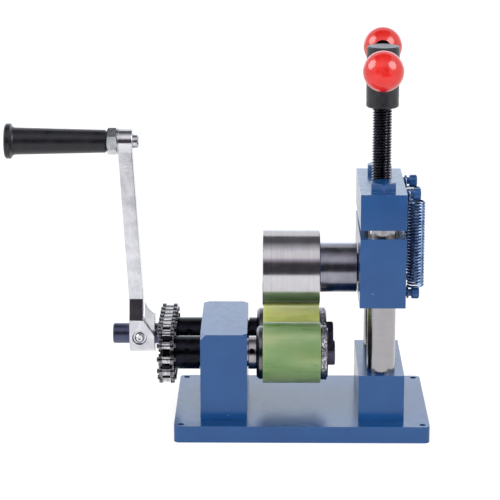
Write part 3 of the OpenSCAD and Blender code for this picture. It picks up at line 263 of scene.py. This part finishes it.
def cast_polyurethane(name, deep, pale, warm, band, shift, axis_y):
    """Green polyurethane cast onto a core and turned: light goes a little way in, so that it looks soft. It is clouded
    along its length with warmer patches and with broad bands, which shift moves round the cover. Its edges are painted
    paler, as a painted glow where light would get in."""
    material, tree, points = start_finish(name)
    drawn_out = add(tree, "ShaderNodeMapping", {"Vector": points, "Scale": (0.25, 1.0, 1.0)})
    mottle = add(tree, "ShaderNodeTexNoise", {"Vector": drawn_out, "Scale": per(6), "Detail": 3.0})
    share = add(tree, "ShaderNodeMapRange", {"Value": mottle, "From Min": 0.34, "From Max": 0.66})
    green = add(tree, "ShaderNodeMix", {"Factor": share, "A": srgb(deep), "B": srgb(pale)}, data_type="RGBA")
    patches = add(tree, "ShaderNodeTexNoise", {"Vector": drawn_out, "Scale": per(11), "Detail": 1.0})
    share = add(tree, "ShaderNodeMapRange", {"Value": patches, "From Min": 0.5, "From Max": 0.72, "To Max": 0.8})
    green = add(tree, "ShaderNodeMix", {"Factor": share, "A": green, "B": srgb(warm)}, data_type="RGBA")
    streaks = add(tree, "ShaderNodeMapping", {
        "Vector": points, "Location": (0.0, shift * MM, 0.0), "Scale": (0.12, 1.0, 1.0)})
    bands = add(tree, "ShaderNodeTexNoise", {"Vector": streaks, "Scale": per(17), "Detail": 1.0})
    share = add(tree, "ShaderNodeMapRange", {"Value": bands, "From Min": 0.4, "From Max": 0.6, "To Max": 0.7})
    green = add(tree, "ShaderNodeMix", {"Factor": share, "A": green, "B": srgb(band)}, data_type="RGBA")
    # Paler edges: a painted glow, standing for light that gets into the cover at its edges
    edge = edge_wear_and_painted_light(tree, points, 1.4, 0.01, 0.2, 9)
    edge = add(tree, "ShaderNodeMath", {0: edge, 1: 0.5}, operation="MULTIPLY")
    green = add(tree, "ShaderNodeMix", {"Factor": edge, "A": green, "B": srgb("#D3DAB4")}, data_type="RGBA")
    normal = add(tree, "ShaderNodeBump", {"Height": mottle, "Distance": 0.03 * MM})
    rings = lathe_rings(tree, points, "X", (axis_y, SHAFT_Z), 0.8)
    normal = add(tree, "ShaderNodeBump", {"Height": rings, "Distance": 0.008 * MM, "Normal": normal})
    rough = add(tree, "ShaderNodeMapRange", {
        "Value": mottle, "From Min": 0.3, "From Max": 0.7, "To Min": 0.26, "To Max": 0.36})
    shader = add(tree, "ShaderNodeBsdfPrincipled", {
        "Base Color": green, "IOR": 1.5, "Roughness": rough, "Normal": normal,
        "Subsurface Weight": 0.5, "Subsurface Radius": (1.0, 1.0, 0.5), "Subsurface Scale": 6 * MM})
    add(tree, "ShaderNodeOutputMaterial", {"Surface": shader})
    return material


finishes = {
    "blue_paint": sprayed_enamel(),
    # Oiled black oxide: the rings and hubs are almost black, and only their gloss shows their shape
    "black_steel": black_oxide("oiled black oxide on turned steel", "#1A1A22", "#26262F", 0.8, 0.003, 0.22, 0.34, 1.0),
    "chain_steel": oiled_chain_steel(),
    # Hardened bearing steel, ground and lapped: bright and even
    "bearing_steel": clouded_metal("lapped bearing steel", "#B9BABF", "#CDCED2", 2, 0.5, 0.001, 0.14, 0.24),
    # Chromium over a ground casting: bright, with the casting's soft grain under the plate
    "chrome": clouded_metal("chromium plate on a casting", "#C0C1C8", "#D6D6DC", 12, 1.6, 0.010, 0.1, 0.18),
    # Zinc plate: pale blue-grey with a slight spangle
    "zinc": clouded_metal("bright zinc plate", "#B4B7BD", "#CDCFD2", 4, 1.2, 0.003, 0.2, 0.3),
    # Bronze pressed from powder: warm, matt and pitted with small open pores. Its colour is darkened to paint the
    # shade in the narrow gap between the top block and the press block
    "bronze": clouded_metal("sintered bronze", "#5E4A2C", "#80653F", 1.5, 0.4, 0.02, 0.3, 0.42),
    # Hard drawn wire under clear blue lacquer: a blue metal that is bright where it meets the light and dark beside
    "spring_steel": clouded_metal("clear blue lacquer on drawn wire", "#435B82", "#758DB2", 4, 0.5, 0.003, 0.12,
                                  0.22),
    # Red phenolic moulded in a polished die: deep colour under a hard gloss
    "red_knob": gloss_over_colour("moulded phenolic", "#D0160F", "#DE2018", 12, 1.6, 2.5, 0.002, 0.15, 0.2),
    # Black nylon moulded for a hand grip: satin, with faint flow marks
    "black_grip": gloss_over_colour("moulded black nylon", "#0F0F17", "#16161F", 7, 1.45, 0.9, 0.003, 0.26, 0.36),
}
lone_finishes = {
    "front_column": turned_steel("ground column steel, front", "Z", (SCREW_X, -COLUMN_Y), "#A5A3A6", "#9D9B9E", 0.14,
                                 0.2, depth=0.001),
    "rear_column": turned_steel("ground column steel, rear", "Z", (SCREW_X, COLUMN_Y), "#A5A3A6", "#9D9B9E", 0.14,
                                0.2, depth=0.001),
    "upper_roller": turned_steel("turned roller steel", "X", (0, ROLLER_Z), "#CCCACE", "#BCBABF", 0.13, 0.2,
                                 depth=0.003),
    "upper_shaft": turned_steel("turned shaft steel, upper", "X", (0, ROLLER_Z), "#9B9BA6", "#7C7C88", 0.18,
                                0.26, depth=0.002),
    "thrust_pad": turned_steel("ground thrust pad steel", "Z", (SCREW_X, 0), "#84858C", "#5E5F66", 0.2, 0.32),
    "front_roller_tyre": cast_polyurethane("cast polyurethane, front", "#7F9C6B", "#9DAD85", "#AAAD7F", "#5C8045",
                                           98.5, -SHAFT_Y),
    # The rear cover is the same polyurethane as the front, painted much paler and yellower: painted light standing for
    # light shining through it from behind
    "rear_roller_tyre": cast_polyurethane("cast polyurethane painted paler, rear", "#CFD87A", "#E3EA98", "#DFD787", "#BCC562",
                                          0.0, SHAFT_Y),
    "screw_hub": black_oxide("dry black oxide on a rough forging", "#16171C", "#26272D", 0.8, 0.07, 0.28, 0.4,
                             0.0, bare="#DCDCE0", wear=0.9, patch=0.9),
}
lone_finishes["upper_key"] = lone_finishes["upper_shaft"]
for end, y in (("front", -SHAFT_Y), ("rear", SHAFT_Y)):
    core = turned_steel(f"turned roller core steel, {end}", "X", (y, SHAFT_Z), "#7C7A7F", "#4C4B50", 0.2, 0.32)
    lone_finishes[f"{end}_key"] = lone_finishes[f"{end}_roller_core"] = core
    lone_finishes[f"{end}_shaft"] = turned_steel(
        f"blued shaft steel, {end}", "X", (y, SHAFT_Z), "#5F637C", "#454860", 0.3, 0.4)
lone_finishes["front_collar"] = turned_steel("turned collar steel", "X", (-SHAFT_Y, SHAFT_Z), "#B5AFB4",
                                             "#8F898F", 0.18, 0.26)
lone_finishes["rear_collar"] = finishes["black_steel"]
thread_finish = black_oxide("black oxide on a rolled thread", "#1F1F27", "#2C2C35", 0.8, 0.003, 0.2, 0.3, 1.0,
                            bare="#C4C5CB", wear=0.8, patch=1.5)
bolt_finish = black_oxide("oiled black oxide on a forged bolt", "#2E2E3B", "#4C4C5C", 1.0, 0.006, 0.26, 0.38, 1.0,
                          bare="#B9BAC2", wear=0.8, patch=2)
knurl_finish = clouded_metal("knurled roller core steel", "#5C5C62", "#C9C9CF", 1.5, 0.6, 0.004, 0.14, 0.26)
lone_finishes["grip_bolt"] = finishes["zinc"]
lone_finishes["chain_rollers"] = clouded_metal("ground chain roller steel", "#A4A4A8", "#D4D4D8", 2, 0.5, 0.003,
                                               0.14, 0.22)

for name, node in nodes.items():
    for slot in node.material_slots:
        slot.material = lone_finishes.get(name) or finishes[slot_of_node[name]]


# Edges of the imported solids, rounded a little as real ones are

def smooth_shading_step():
    """Makes the geometry step that lets every face share smooth shading, before its edges' light is weighted."""
    group = bpy.data.node_groups.new("smooth shading", "GeometryNodeTree")
    group.interface.new_socket("Geometry", in_out="INPUT", socket_type="NodeSocketGeometry")
    group.interface.new_socket("Geometry", in_out="OUTPUT", socket_type="NodeSocketGeometry")
    given = add(group, "NodeGroupInput")
    add(group, "NodeGroupOutput", {0: add(group, "GeometryNodeSetShadeSmooth", {"Geometry": given})})
    return group


smooth_shading = smooth_shading_step()


def ease_edges(pieces, width, segments=2, sharper_than=30, weld_within=0.002, clamped=True):
    """Rounds the sharp edges of pieces by width millimetres, after points closer than weld_within are joined.
    clamped keeps each rounding from running into the next."""
    for piece in pieces:
        weld = piece.modifiers.new("weld", "WELD")
        weld.merge_threshold = weld_within * MM
        flat = piece.modifiers.new("flat faces", "DECIMATE")
        flat.decimate_type = "DISSOLVE"
        flat.angle_limit = math.radians(0.5)
        rounding = piece.modifiers.new("eased edges", "BEVEL")
        rounding.width = width * MM
        rounding.segments = segments
        rounding.limit_method = "ANGLE"
        rounding.angle_limit = math.radians(sharper_than)
        rounding.miter_outer = "MITER_ARC"
        rounding.use_clamp_overlap = clamped
        piece.modifiers.new("smooth shading", "NODES").node_group = smooth_shading
        piece.modifiers.new("weighted light", "WEIGHTED_NORMAL").weight = 100


blocks = ("base_plate", "bearing_post", "column_foot", "top_block", "press_block")
ease_edges([nodes[name] for name in blocks], 0.45)
ease_edges([nodes[name] for name in ("front_roller_tyre", "rear_roller_tyre", "upper_shaft")], 0.6)
ease_edges([nodes["screw_hub"]], 0.9, segments=3)


# Pieces made here, in millimetres

def mesh_of(name, points, faces, unit=1.0):
    """Makes a mesh whose faces all look outward."""
    mesh = bpy.data.meshes.new(name)
    mesh.from_pydata([tuple(c * unit for c in point) for point in points], [], faces)
    shape = bmesh.new()
    shape.from_mesh(mesh)
    bmesh.ops.recalc_face_normals(shape, faces=shape.faces)
    shape.to_mesh(mesh)
    shape.free()
    return mesh


def build_piece(name, points, faces, finish, body, stands_for, sharp=35, look=None):
    """Makes a smooth-shaded mesh with sharp creases above an angle, and rides it on its body in place of nodes. It
    has the finish of its slot, or a look of its own."""
    mesh = mesh_of(name, points, faces, MM)
    mesh.polygons.foreach_set("use_smooth", [True] * len(mesh.polygons))
    mesh.set_sharp_from_angle(angle=math.radians(sharp))
    mesh.materials.append(look or finishes[finish])
    piece = bpy.data.objects.new(name, mesh)
    bpy.context.scene.collection.objects.link(piece)
    if body:
        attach(piece, body)
    if stands_for:
        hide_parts(*stands_for)
    return piece


def skin(rows, closed_rows=True, caps=True):
    """Joins rows of points into faces. Each row is a ring round the piece, and the first and last are closed by
    caps, or join each other."""
    count = len(rows[0])
    faces = []
    last = len(rows) - 1 if caps else len(rows)
    for k in range(last):
        ahead = (k + 1) % len(rows)
        for i in range(count if closed_rows else count - 1):
            beside = (i + 1) % count
            faces.append((k * count + i, k * count + beside, ahead * count + beside, ahead * count + i))
    if caps:
        faces.append(tuple(range(count - 1, -1, -1)))
        faces.append(tuple((len(rows) - 1) * count + i for i in range(count)))
    return [point for row in rows for point in row], faces


def thread_depth(phase, pitch, depth):
    """Gives how far a metric thread lies below its crest, at a share of one pitch from the middle of a crest."""
    from_crest = abs((phase + 0.5) % 1 - 0.5) * pitch
    return min(depth, max(0, (from_crest - pitch / 16) / math.tan(math.radians(30))))


def pressure_thread():
    """Cuts the pressure screw's thread, M14 with a 2 mm pitch, above its plain tip."""
    crest, pitch, depth = 7.0, 2.0, 1.2268
    low, high, tip_low, tip_r = 144.4, 240.0, 141.65, 5.0
    around, rows_per_pitch = 48, 10
    angles = [i * math.tau / around for i in range(around)]
    rows = [[(SCREW_X + r * math.cos(a), r * math.sin(a), z) for a in angles]
            for z, r in ((tip_low, tip_r - 0.8), (tip_low + 0.8, tip_r), (low, tip_r))]
    for k in range(int((high - low) / pitch * rows_per_pitch) + 1):
        z = low + k * pitch / rows_per_pitch
        row = []
        for a in angles:
            r = crest - thread_depth(z / pitch - a / math.tau, pitch, depth)
            r = min(r, tip_r + 0.3 + 1.2 * (z - low), tip_r + 0.3 + 1.2 * (high - z))
            row.append((SCREW_X + r * math.cos(a), r * math.sin(a), z))
        rows.append(row)
    build_piece("pressure_thread", *skin(rows), "black_steel", "screw", ["pressure_screw"], sharp=50,
                look=thread_finish)


def swept_wire(path, radius, sides):
    """Runs a round section along a path, without twist, and closes its ends."""
    path = [Vector(point) for point in path]
    along = [(path[min(i + 1, len(path) - 1)] - path[max(i - 1, 0)]).normalized() for i in range(len(path))]
    across = along[0].orthogonal().normalized()
    rows = []
    for place, direction in zip(path, along):
        across = (across - direction * across.dot(direction)).normalized()
        third = direction.cross(across)
        rows.append([place + radius * (math.cos(a) * across + math.sin(a) * third)
                     for a in (k * math.tau / sides for k in range(sides))])
    return skin(rows)


def return_spring(name, y):
    """Winds one extension spring with an open hook at each end, which stretches from the top block's screw to the
    press head's."""
    centre_x, coil_r, wire_r, turns, ring_steps = 80.15, 5.35, 0.82, 28, 28
    hook_r, low_hook_z, high_hook_z = 4.2, 100.4, 170.2
    low, high = low_hook_z + hook_r, high_hook_z - hook_r
    hook_x = centre_x - coil_r
    path = [(hook_x, y + hook_r * math.cos(a), low_hook_z + hook_r * math.sin(a))
            for a in (math.radians(-190 + 10 * i) for i in range(28))]
    for k in range(turns * ring_steps + 1):
        a = math.pi + k * math.tau / ring_steps
        path.append((centre_x + coil_r * math.cos(a), y + coil_r * math.sin(a),
                     low + (high - low) * k / (turns * ring_steps)))
    path += [(hook_x, y + hook_r * math.cos(a), high_hook_z + hook_r * math.sin(a))
             for a in (math.radians(-100 - 10 * i) for i in range(28))]
    spring = build_piece(name + "_wire", *swept_wire(path, wire_r, 10), "spring_steel", None, [name],
                         sharp=60)
    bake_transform(spring)


def hexagon(flats, length, bore=0.0, both_ends=True):
    """Shapes a hexagon from the origin along +X with one corner up, turned off at 30 degrees at its far end or at
    both, round a bore."""
    flat_r, around = flats / 2, 72
    face_r = flat_r * 0.96
    sections = []
    for i in range(around):
        a = i * math.tau / around
        rim = flat_r / math.cos(a % (math.pi / 3) - math.pi / 6)
        drop = (rim - face_r) * math.tan(math.radians(30))
        section = [(face_r, length), (rim, length - drop)]
        section += [(rim, drop), (face_r, 0.0)] if both_ends else [(rim, 0.0)]
        if bore:
            section = [(bore / 2, length)] + section + [(bore / 2, 0.0)]
        sections.append([(along, r * math.sin(a), r * math.cos(a)) for r, along in section])
    return skin([[section[k] for section in sections] for k in range(len(sections[0]))], caps=not bore)


def ring(outlines, closed=False):
    """Turns an outline of (radius, place along +X) about the X axis, with end caps or closed on itself."""
    return skin([[(along, r * math.sin(a), r * math.cos(a)) for a in (i * math.tau / 64 for i in range(64))]
                 for r, along in outlines], caps=not closed)


def prism(outline, axis, low, high):
    """Runs an outline in the other two axes along X or Y, from low to high."""
    if axis == "X":
        return skin([[(x, u, v) for u, v in outline] for x in (low, high)])
    return skin([[(u, y, v) for u, v in outline] for y in (low, high)])


def arc(centre, radius, first, last, steps):
    """Gives points along an arc, between two angles in degrees."""
    return [(centre[0] + radius * math.cos(a), centre[1] + radius * math.sin(a))
            for a in (math.radians(first + (last - first) * k / steps) for k in range(steps + 1))]


def carved(blank, *cuts):
    """Joins, crosses or cuts a blank shape with others, one after another."""
    work = bpy.data.objects.new("blank", mesh_of("blank", *blank))
    bpy.context.scene.collection.objects.link(work)
    for operation, shape in cuts:
        cutter = bpy.data.objects.new("cutter", mesh_of("cutter", *shape))
        bpy.context.scene.collection.objects.link(cutter)
        step = work.modifiers.new("step", "BOOLEAN")
        step.operation, step.object, step.solver = operation, cutter, "EXACT"
        result = bpy.data.meshes.new_from_object(work.evaluated_get(bpy.context.evaluated_depsgraph_get()))
        work.modifiers.clear()
        work.data = result
        bpy.data.objects.remove(cutter)
    points = [tuple(vertex.co) for vertex in work.data.vertices]
    faces = [tuple(face.vertices) for face in work.data.polygons]
    bpy.data.objects.remove(work)
    return points, faces


def crank_casting():
    """Shapes the crank: a tapered arm that flares to the flat front of its hub, and beside it a gusset that slopes
    from the arm down to the hub's round."""
    y, z, eye_z, flare_z = SHAFT_Y, SHAFT_Z, GRIP_Z, 83.75
    left, right, split, eye_left, eye_right = -125.1, -106.5, -114.8, -131.8, -121.5
    hub_r, eye_r, foot_half_width, sweep_r, past = 13.25, 9.15, 9.0, 13.0, 20.0
    shaft_hole_r, grip_hole_r, screw_hole_r, recess_r, recess_depth = 7.52, 5.02, 2.52, 5.0, 2.2
    arm_front = [(left, z - hub_r), (right, z - hub_r), (right, z + 1.5), (split, z + hub_r + 0.7),
                 (split, flare_z), (eye_right, eye_z - eye_r), (eye_right, eye_z + eye_r),
                 (eye_left, eye_z + eye_r), (eye_left, eye_z - eye_r), (left, flare_z)]
    arm_side = arc((y, z), hub_r, 180, 360, 48) + [(y + hub_r, z + hub_r), (y + foot_half_width, flare_z)]
    arm_side += arc((y, eye_z), eye_r, -43.5, 223.5, 72)
    arm_side += [(y - foot_half_width, flare_z), (y - hub_r, z + hub_r)]
    web_front = [(split - 2, z - hub_r), (right, z - hub_r)]
    web_front += arc((split + sweep_r, flare_z), sweep_r, -111.2, -180, 24) + [(split - 2, flare_z)]
    web_side = arc((y, z), hub_r, 145, 395, 80) + [(y, z + hub_r / math.sin(math.radians(35)))]
    web = carved(prism(web_side, "X", split - 4, right + 4),
                 ("INTERSECT", prism(web_front, "Y", y - past, y + past)))
    screw = (-117.6, z)
    hub_front = y - hub_r
    return carved(
        prism(arm_side, "X", -140, -100),
        ("INTERSECT", prism(arm_front, "Y", y - past, y + past)),
        ("UNION", web),
        ("DIFFERENCE", prism(arc((y, z), shaft_hole_r, 0, 354, 59), "X", -140, -100)),
        ("DIFFERENCE", prism(arc((y, eye_z), grip_hole_r, 0, 354, 59), "X", -140, -110)),
        ("DIFFERENCE", prism(arc(screw, recess_r, 0, 350, 35), "Y", hub_front - 5, hub_front + recess_depth)),
        ("DIFFERENCE", prism(arc(screw, screw_hole_r, 0, 350, 35), "Y", hub_front - 5, y - 5)))


def knurled_rim(radius, width, pitch):
    """Rolls a diamond knurl round a rim that starts at the origin and runs along +X."""
    diamonds, steps, depth = round(math.tau * radius / pitch), 4, 0.35
    rows = []
    for k in range(round(width / pitch * steps) + 1):
        row = []
        for i in range(diamonds * steps):
            height = abs(math.sin(math.pi * (i + k) / steps) * math.sin(math.pi * (i - k) / steps))
            a = i * math.tau / (diamonds * steps)
            r = radius + depth * height
            row.append((k * pitch / steps, r * math.sin(a), r * math.cos(a)))
        rows.append(row)
    inside = (radius - 0.4) / radius
    rims = [[(row[0][0], y * inside, z * inside) for _, y, z in row] for row in (rows[0], rows[-1])]
    return skin([rims[0]] + rows + [rims[1]], caps=False)


def put(shape, at, along=Vector((1, 0, 0)), turned=0.0):
    """Turns a shape about its own X axis, points that axis along a direction, and moves it to its place."""
    points, faces = shape
    turn = Vector((1, 0, 0)).rotation_difference(along).to_matrix() @ Matrix.Rotation(math.radians(turned), 3, "X")
    return [tuple(turn @ Vector(point) + Vector(at)) for point in points], faces


def merged(*shapes):
    """Puts several shapes of points and faces into one."""
    points, faces = [], []
    for shape_points, shape_faces in shapes:
        faces += [tuple(len(points) + i for i in face) for face in shape_faces]
        points += shape_points
    return points, faces


crank = build_piece("crank_casting", *crank_casting(), "chrome", "rear_shaft", ["crank_arm"], sharp=12)
ease_edges([crank], 0.5, sharper_than=12, weld_within=0.3, clamped=False)
pressure_thread()
for name, y in (("front_spring", -SPRING_Y), ("rear_spring", SPRING_Y)):
    return_spring(name, y)
for end, y in (("front", -SHAFT_Y), ("rear", SHAFT_Y)):
    bolt = merged(hexagon(HEAD_FLATS, 5.2, both_ends=False), ring([(5.0, 0.0), (5.0, -20.0)]))
    build_piece(end + "_hex_bolt", *put(bolt, (18.5, y, SHAFT_Z), turned=9), "black_steel", end + "_shaft",
                [end + "_end_bolt"], sharp=25, look=bolt_finish)
    build_piece(end + "_knurled_rim", *put(knurled_rim(19.0, 3.4, 1.42), (14.1, y, SHAFT_Z)), "shaft_steel",
                end + "_shaft", [], look=knurl_finish)
up = Vector((0, 0, 1))
column_bolt = merged(hexagon(HEAD_FLATS, 6.4, both_ends=False), ring([(5.0, 0.0), (5.0, -18.0)]))
column_bolts = [put(column_bolt, (SCREW_X, y, 175.2), up, turned=30) for y in (-COLUMN_Y, COLUMN_Y)]
build_piece("column_hex_bolts", *merged(*column_bolts), "blue_paint", "frame", ["column_bolts"], sharp=25)
bar_z, knob_flat_y = 263.3, 42.4
along_bar = Matrix.Rotation(math.radians(-2.5), 3, "Z") @ Vector((0, 1, 0))
# A thin black ring on the flat of each knob: partly a steel insert where the bar enters, partly a dark ring put there
# as painted shade round the bar's end
insert_shade_ring = ring([(5.05, 0.0), (6.4, 0.0), (6.4, 0.4), (5.05, 0.4)], closed=True)
insert_shade_rings = [put(insert_shade_ring, Vector((SCREW_X, 0, bar_z)) + side * knob_flat_y * along_bar, side * along_bar)
           for side in (-1, 1)]
build_piece("knob_insert_shade_rings", *merged(*insert_shade_rings), "black_steel", "screw", [])
washer = ring([(5.02, 7.5), (5.02, 8.2), (9.5, 8.2), (9.5, 7.5)], closed=True)
lock_nut = merged(hexagon(HEAD_FLATS, 7.5, bore=10.04), washer)
build_piece("grip_lock_nut", *put(lock_nut, (-140.0, SHAFT_Y, GRIP_Z)), "zinc", "rear_shaft", ["grip_nut"],
            sharp=25)


# Stage: a pale bench whose left edge lets the crank swing past, a floor below it, lamps and the camera

def seen_as_ground(tree):
    """Gives 1 to rays from the eye or by way of gloss or glass, and 0 to ordinary light."""
    seen = 0.0
    for ray in ("Is Camera Ray", "Is Glossy Ray", "Is Transmission Ray"):
        seen = add(tree, "ShaderNodeMath", {0: add(tree, "ShaderNodeLightPath", out=ray), 1: seen},
                   operation="MAXIMUM")
    return seen


def stage_finish(name, shade, glow):
    """A plain pale surface that shows to the eye and in metal as the white ground, keeps the object's shadow, and
    gives back ordinary light."""
    material, tree, _ = start_finish(name)
    plain = add(tree, "ShaderNodeBsdfDiffuse", {"Color": (0.8, 0.8, 0.8, 1)})
    shadowed = add(tree, "ShaderNodeBsdfDiffuse", {"Color": (shade, shade, shade, 1)})
    glowing = add(tree, "ShaderNodeEmission", {"Strength": glow})
    white = add(tree, "ShaderNodeAddShader", {0: shadowed, 1: glowing})
    mixed = add(tree, "ShaderNodeMixShader", {0: seen_as_ground(tree), 1: plain, 2: white})
    add(tree, "ShaderNodeOutputMaterial", {"Surface": mixed})
    return material


def stage_sheet(name, corners, material):
    """Lays one flat four-cornered sheet, given in metres."""
    mesh = bpy.data.meshes.new(name)
    mesh.from_pydata(corners, [], [(0, 1, 2, 3)])
    mesh.materials.append(material)
    sheet = bpy.data.objects.new(name, mesh)
    bpy.context.scene.collection.objects.link(sheet)
    return sheet


def level_sheet(name, left, right, front, back, height, material):
    """Lays one level sheet, given in metres."""
    return stage_sheet(name, [(left, front, height), (right, front, height), (right, back, height),
                              (left, back, height)], material)


def gleam_card(name, brightness, fade=None, colour=(0.96, 0.95, 1, 1)):
    """The finish of a card that only metal and gloss see, as a photographer's black card gives bright metal its
    dark bands. fade gives an axis and two places along it, between which its brightness runs from the first to
    the second."""
    material, tree, points = start_finish(name)
    strength = brightness[0]
    if fade:
        along = add(tree, "ShaderNodeSeparateXYZ", {"Vector": points}, out=fade[0])
        strength = add(tree, "ShaderNodeMapRange", {
            "Value": along, "From Min": fade[1], "From Max": fade[2], "To Min": brightness[0],
            "To Max": brightness[1]})
    glow = add(tree, "ShaderNodeEmission", {"Color": colour, "Strength": strength})
    add(tree, "ShaderNodeOutputMaterial", {"Surface": glow})
    return material


pale_bench = stage_finish("pale bench", 0.35, 0.78)
level_sheet("bench_top", -0.1, 3, -3, 4, -0.0001, pale_bench)
level_sheet("low_floor", -3, -0.1, -3, 4, -0.25, pale_bench)

# The dark room beyond the bench's front edge, and the dark ceiling over the lamps
cards = [
    level_sheet("room_floor", -0.14, 0.9, -1.7, -0.70, 0.001, gleam_card("room floor", [0.075],
                                                                         colour=(0.85, 0.76, 1, 1))),
    stage_sheet("room_wall", [(-1.7, -1.7, 0.001), (0.9, -1.7, 0.001), (0.9, -1.7, 1.5), (-1.7, -1.7, 1.5)],
                gleam_card("room wall", [0.065, 0.8], fade=("Z", 0.92, 1.5), colour=(0.95, 0.86, 1, 1))),
    level_sheet("ceiling", -0.6, 0.6, -0.6, 0.58, 1.2, gleam_card("ceiling", [1.0, 0.13], fade=("Y", -0.6, 0.02))),
]
for card in cards:
    card.visible_camera = card.visible_diffuse = card.visible_shadow = False


def soft_lamp(name, place, target, width, height, energy, on_matt=True, on_gloss=True, colour=(1, 1, 1)):
    """Hangs a soft box at place that faces target. It may leave matt surfaces or gloss alone."""
    lamp = bpy.data.lights.new(name, "AREA")
    lamp.shape = "ELLIPSE"
    lamp.size, lamp.size_y = width, height
    lamp.energy, lamp.color = energy, colour
    holder = bpy.data.objects.new(name, lamp)
    holder.location = place
    holder.rotation_euler = (Vector(target) - Vector(place)).to_track_quat("-Z", "Y").to_euler()
    holder.visible_diffuse, holder.visible_glossy, holder.visible_camera = on_matt, on_gloss, False
    bpy.context.scene.collection.objects.link(holder)


knobs_middle = (0.056, -0.03, 0.26)
soft_lamp("left_gleam", (-0.89, -0.07, 0.82), knobs_middle, 0.85, 0.85, 10.0, on_matt=False)
soft_lamp("back_gleam", (0, 1.7, 0.50), (0, 0, 0.1), 3.2, 1.0, 7.0, on_matt=False, colour=(0.6, 0.78, 1))
soft_lamp("right_gleam", (0.84, -0.48, 0.90), knobs_middle, 0.85, 0.85, 10.0, on_matt=False)
soft_lamp("front_soft_box", (0.1, -1.55, 1.95), (0, 0, 0.11), 1.6, 0.8, 5.0, on_gloss=False)
soft_lamp("front_fill", (-0.3, -1.7, 0.55), (0, 0, 0.11), 1.6, 0.7, 11.0, on_gloss=False)

world = bpy.data.worlds.new("white studio")
bpy.context.scene.world = world
world.use_nodes = True
sky = world.node_tree
sky.nodes.clear()
light = add(sky, "ShaderNodeBackground", {"Color": (1, 1, 1, 1), "Strength": 0.9})
white = add(sky, "ShaderNodeBackground", {"Color": (1, 1, 1, 1), "Strength": 1.0})
mixed = add(sky, "ShaderNodeMixShader", {0: seen_as_ground(sky), 1: light, 2: white})
add(sky, "ShaderNodeOutputWorld", {"Surface": mixed})

# The camera stands where the photograph was taken from: 1.5 m in front, looking 14 degrees down
camera = bpy.data.objects.new("camera", bpy.data.cameras.new("camera"))
camera.data.sensor_width = 36
camera.data.lens = 36 * 2166.25 / 500
camera.data.clip_end = 50
camera.location = (-0.02027, -1.50315, 0.50579)
camera.rotation_euler = (math.radians(90 - 14.226), 0, math.radians(0.638))
bpy.context.scene.collection.objects.link(camera)
bpy.context.scene.camera = camera
bpy.context.scene.view_settings.view_transform = "Standard"
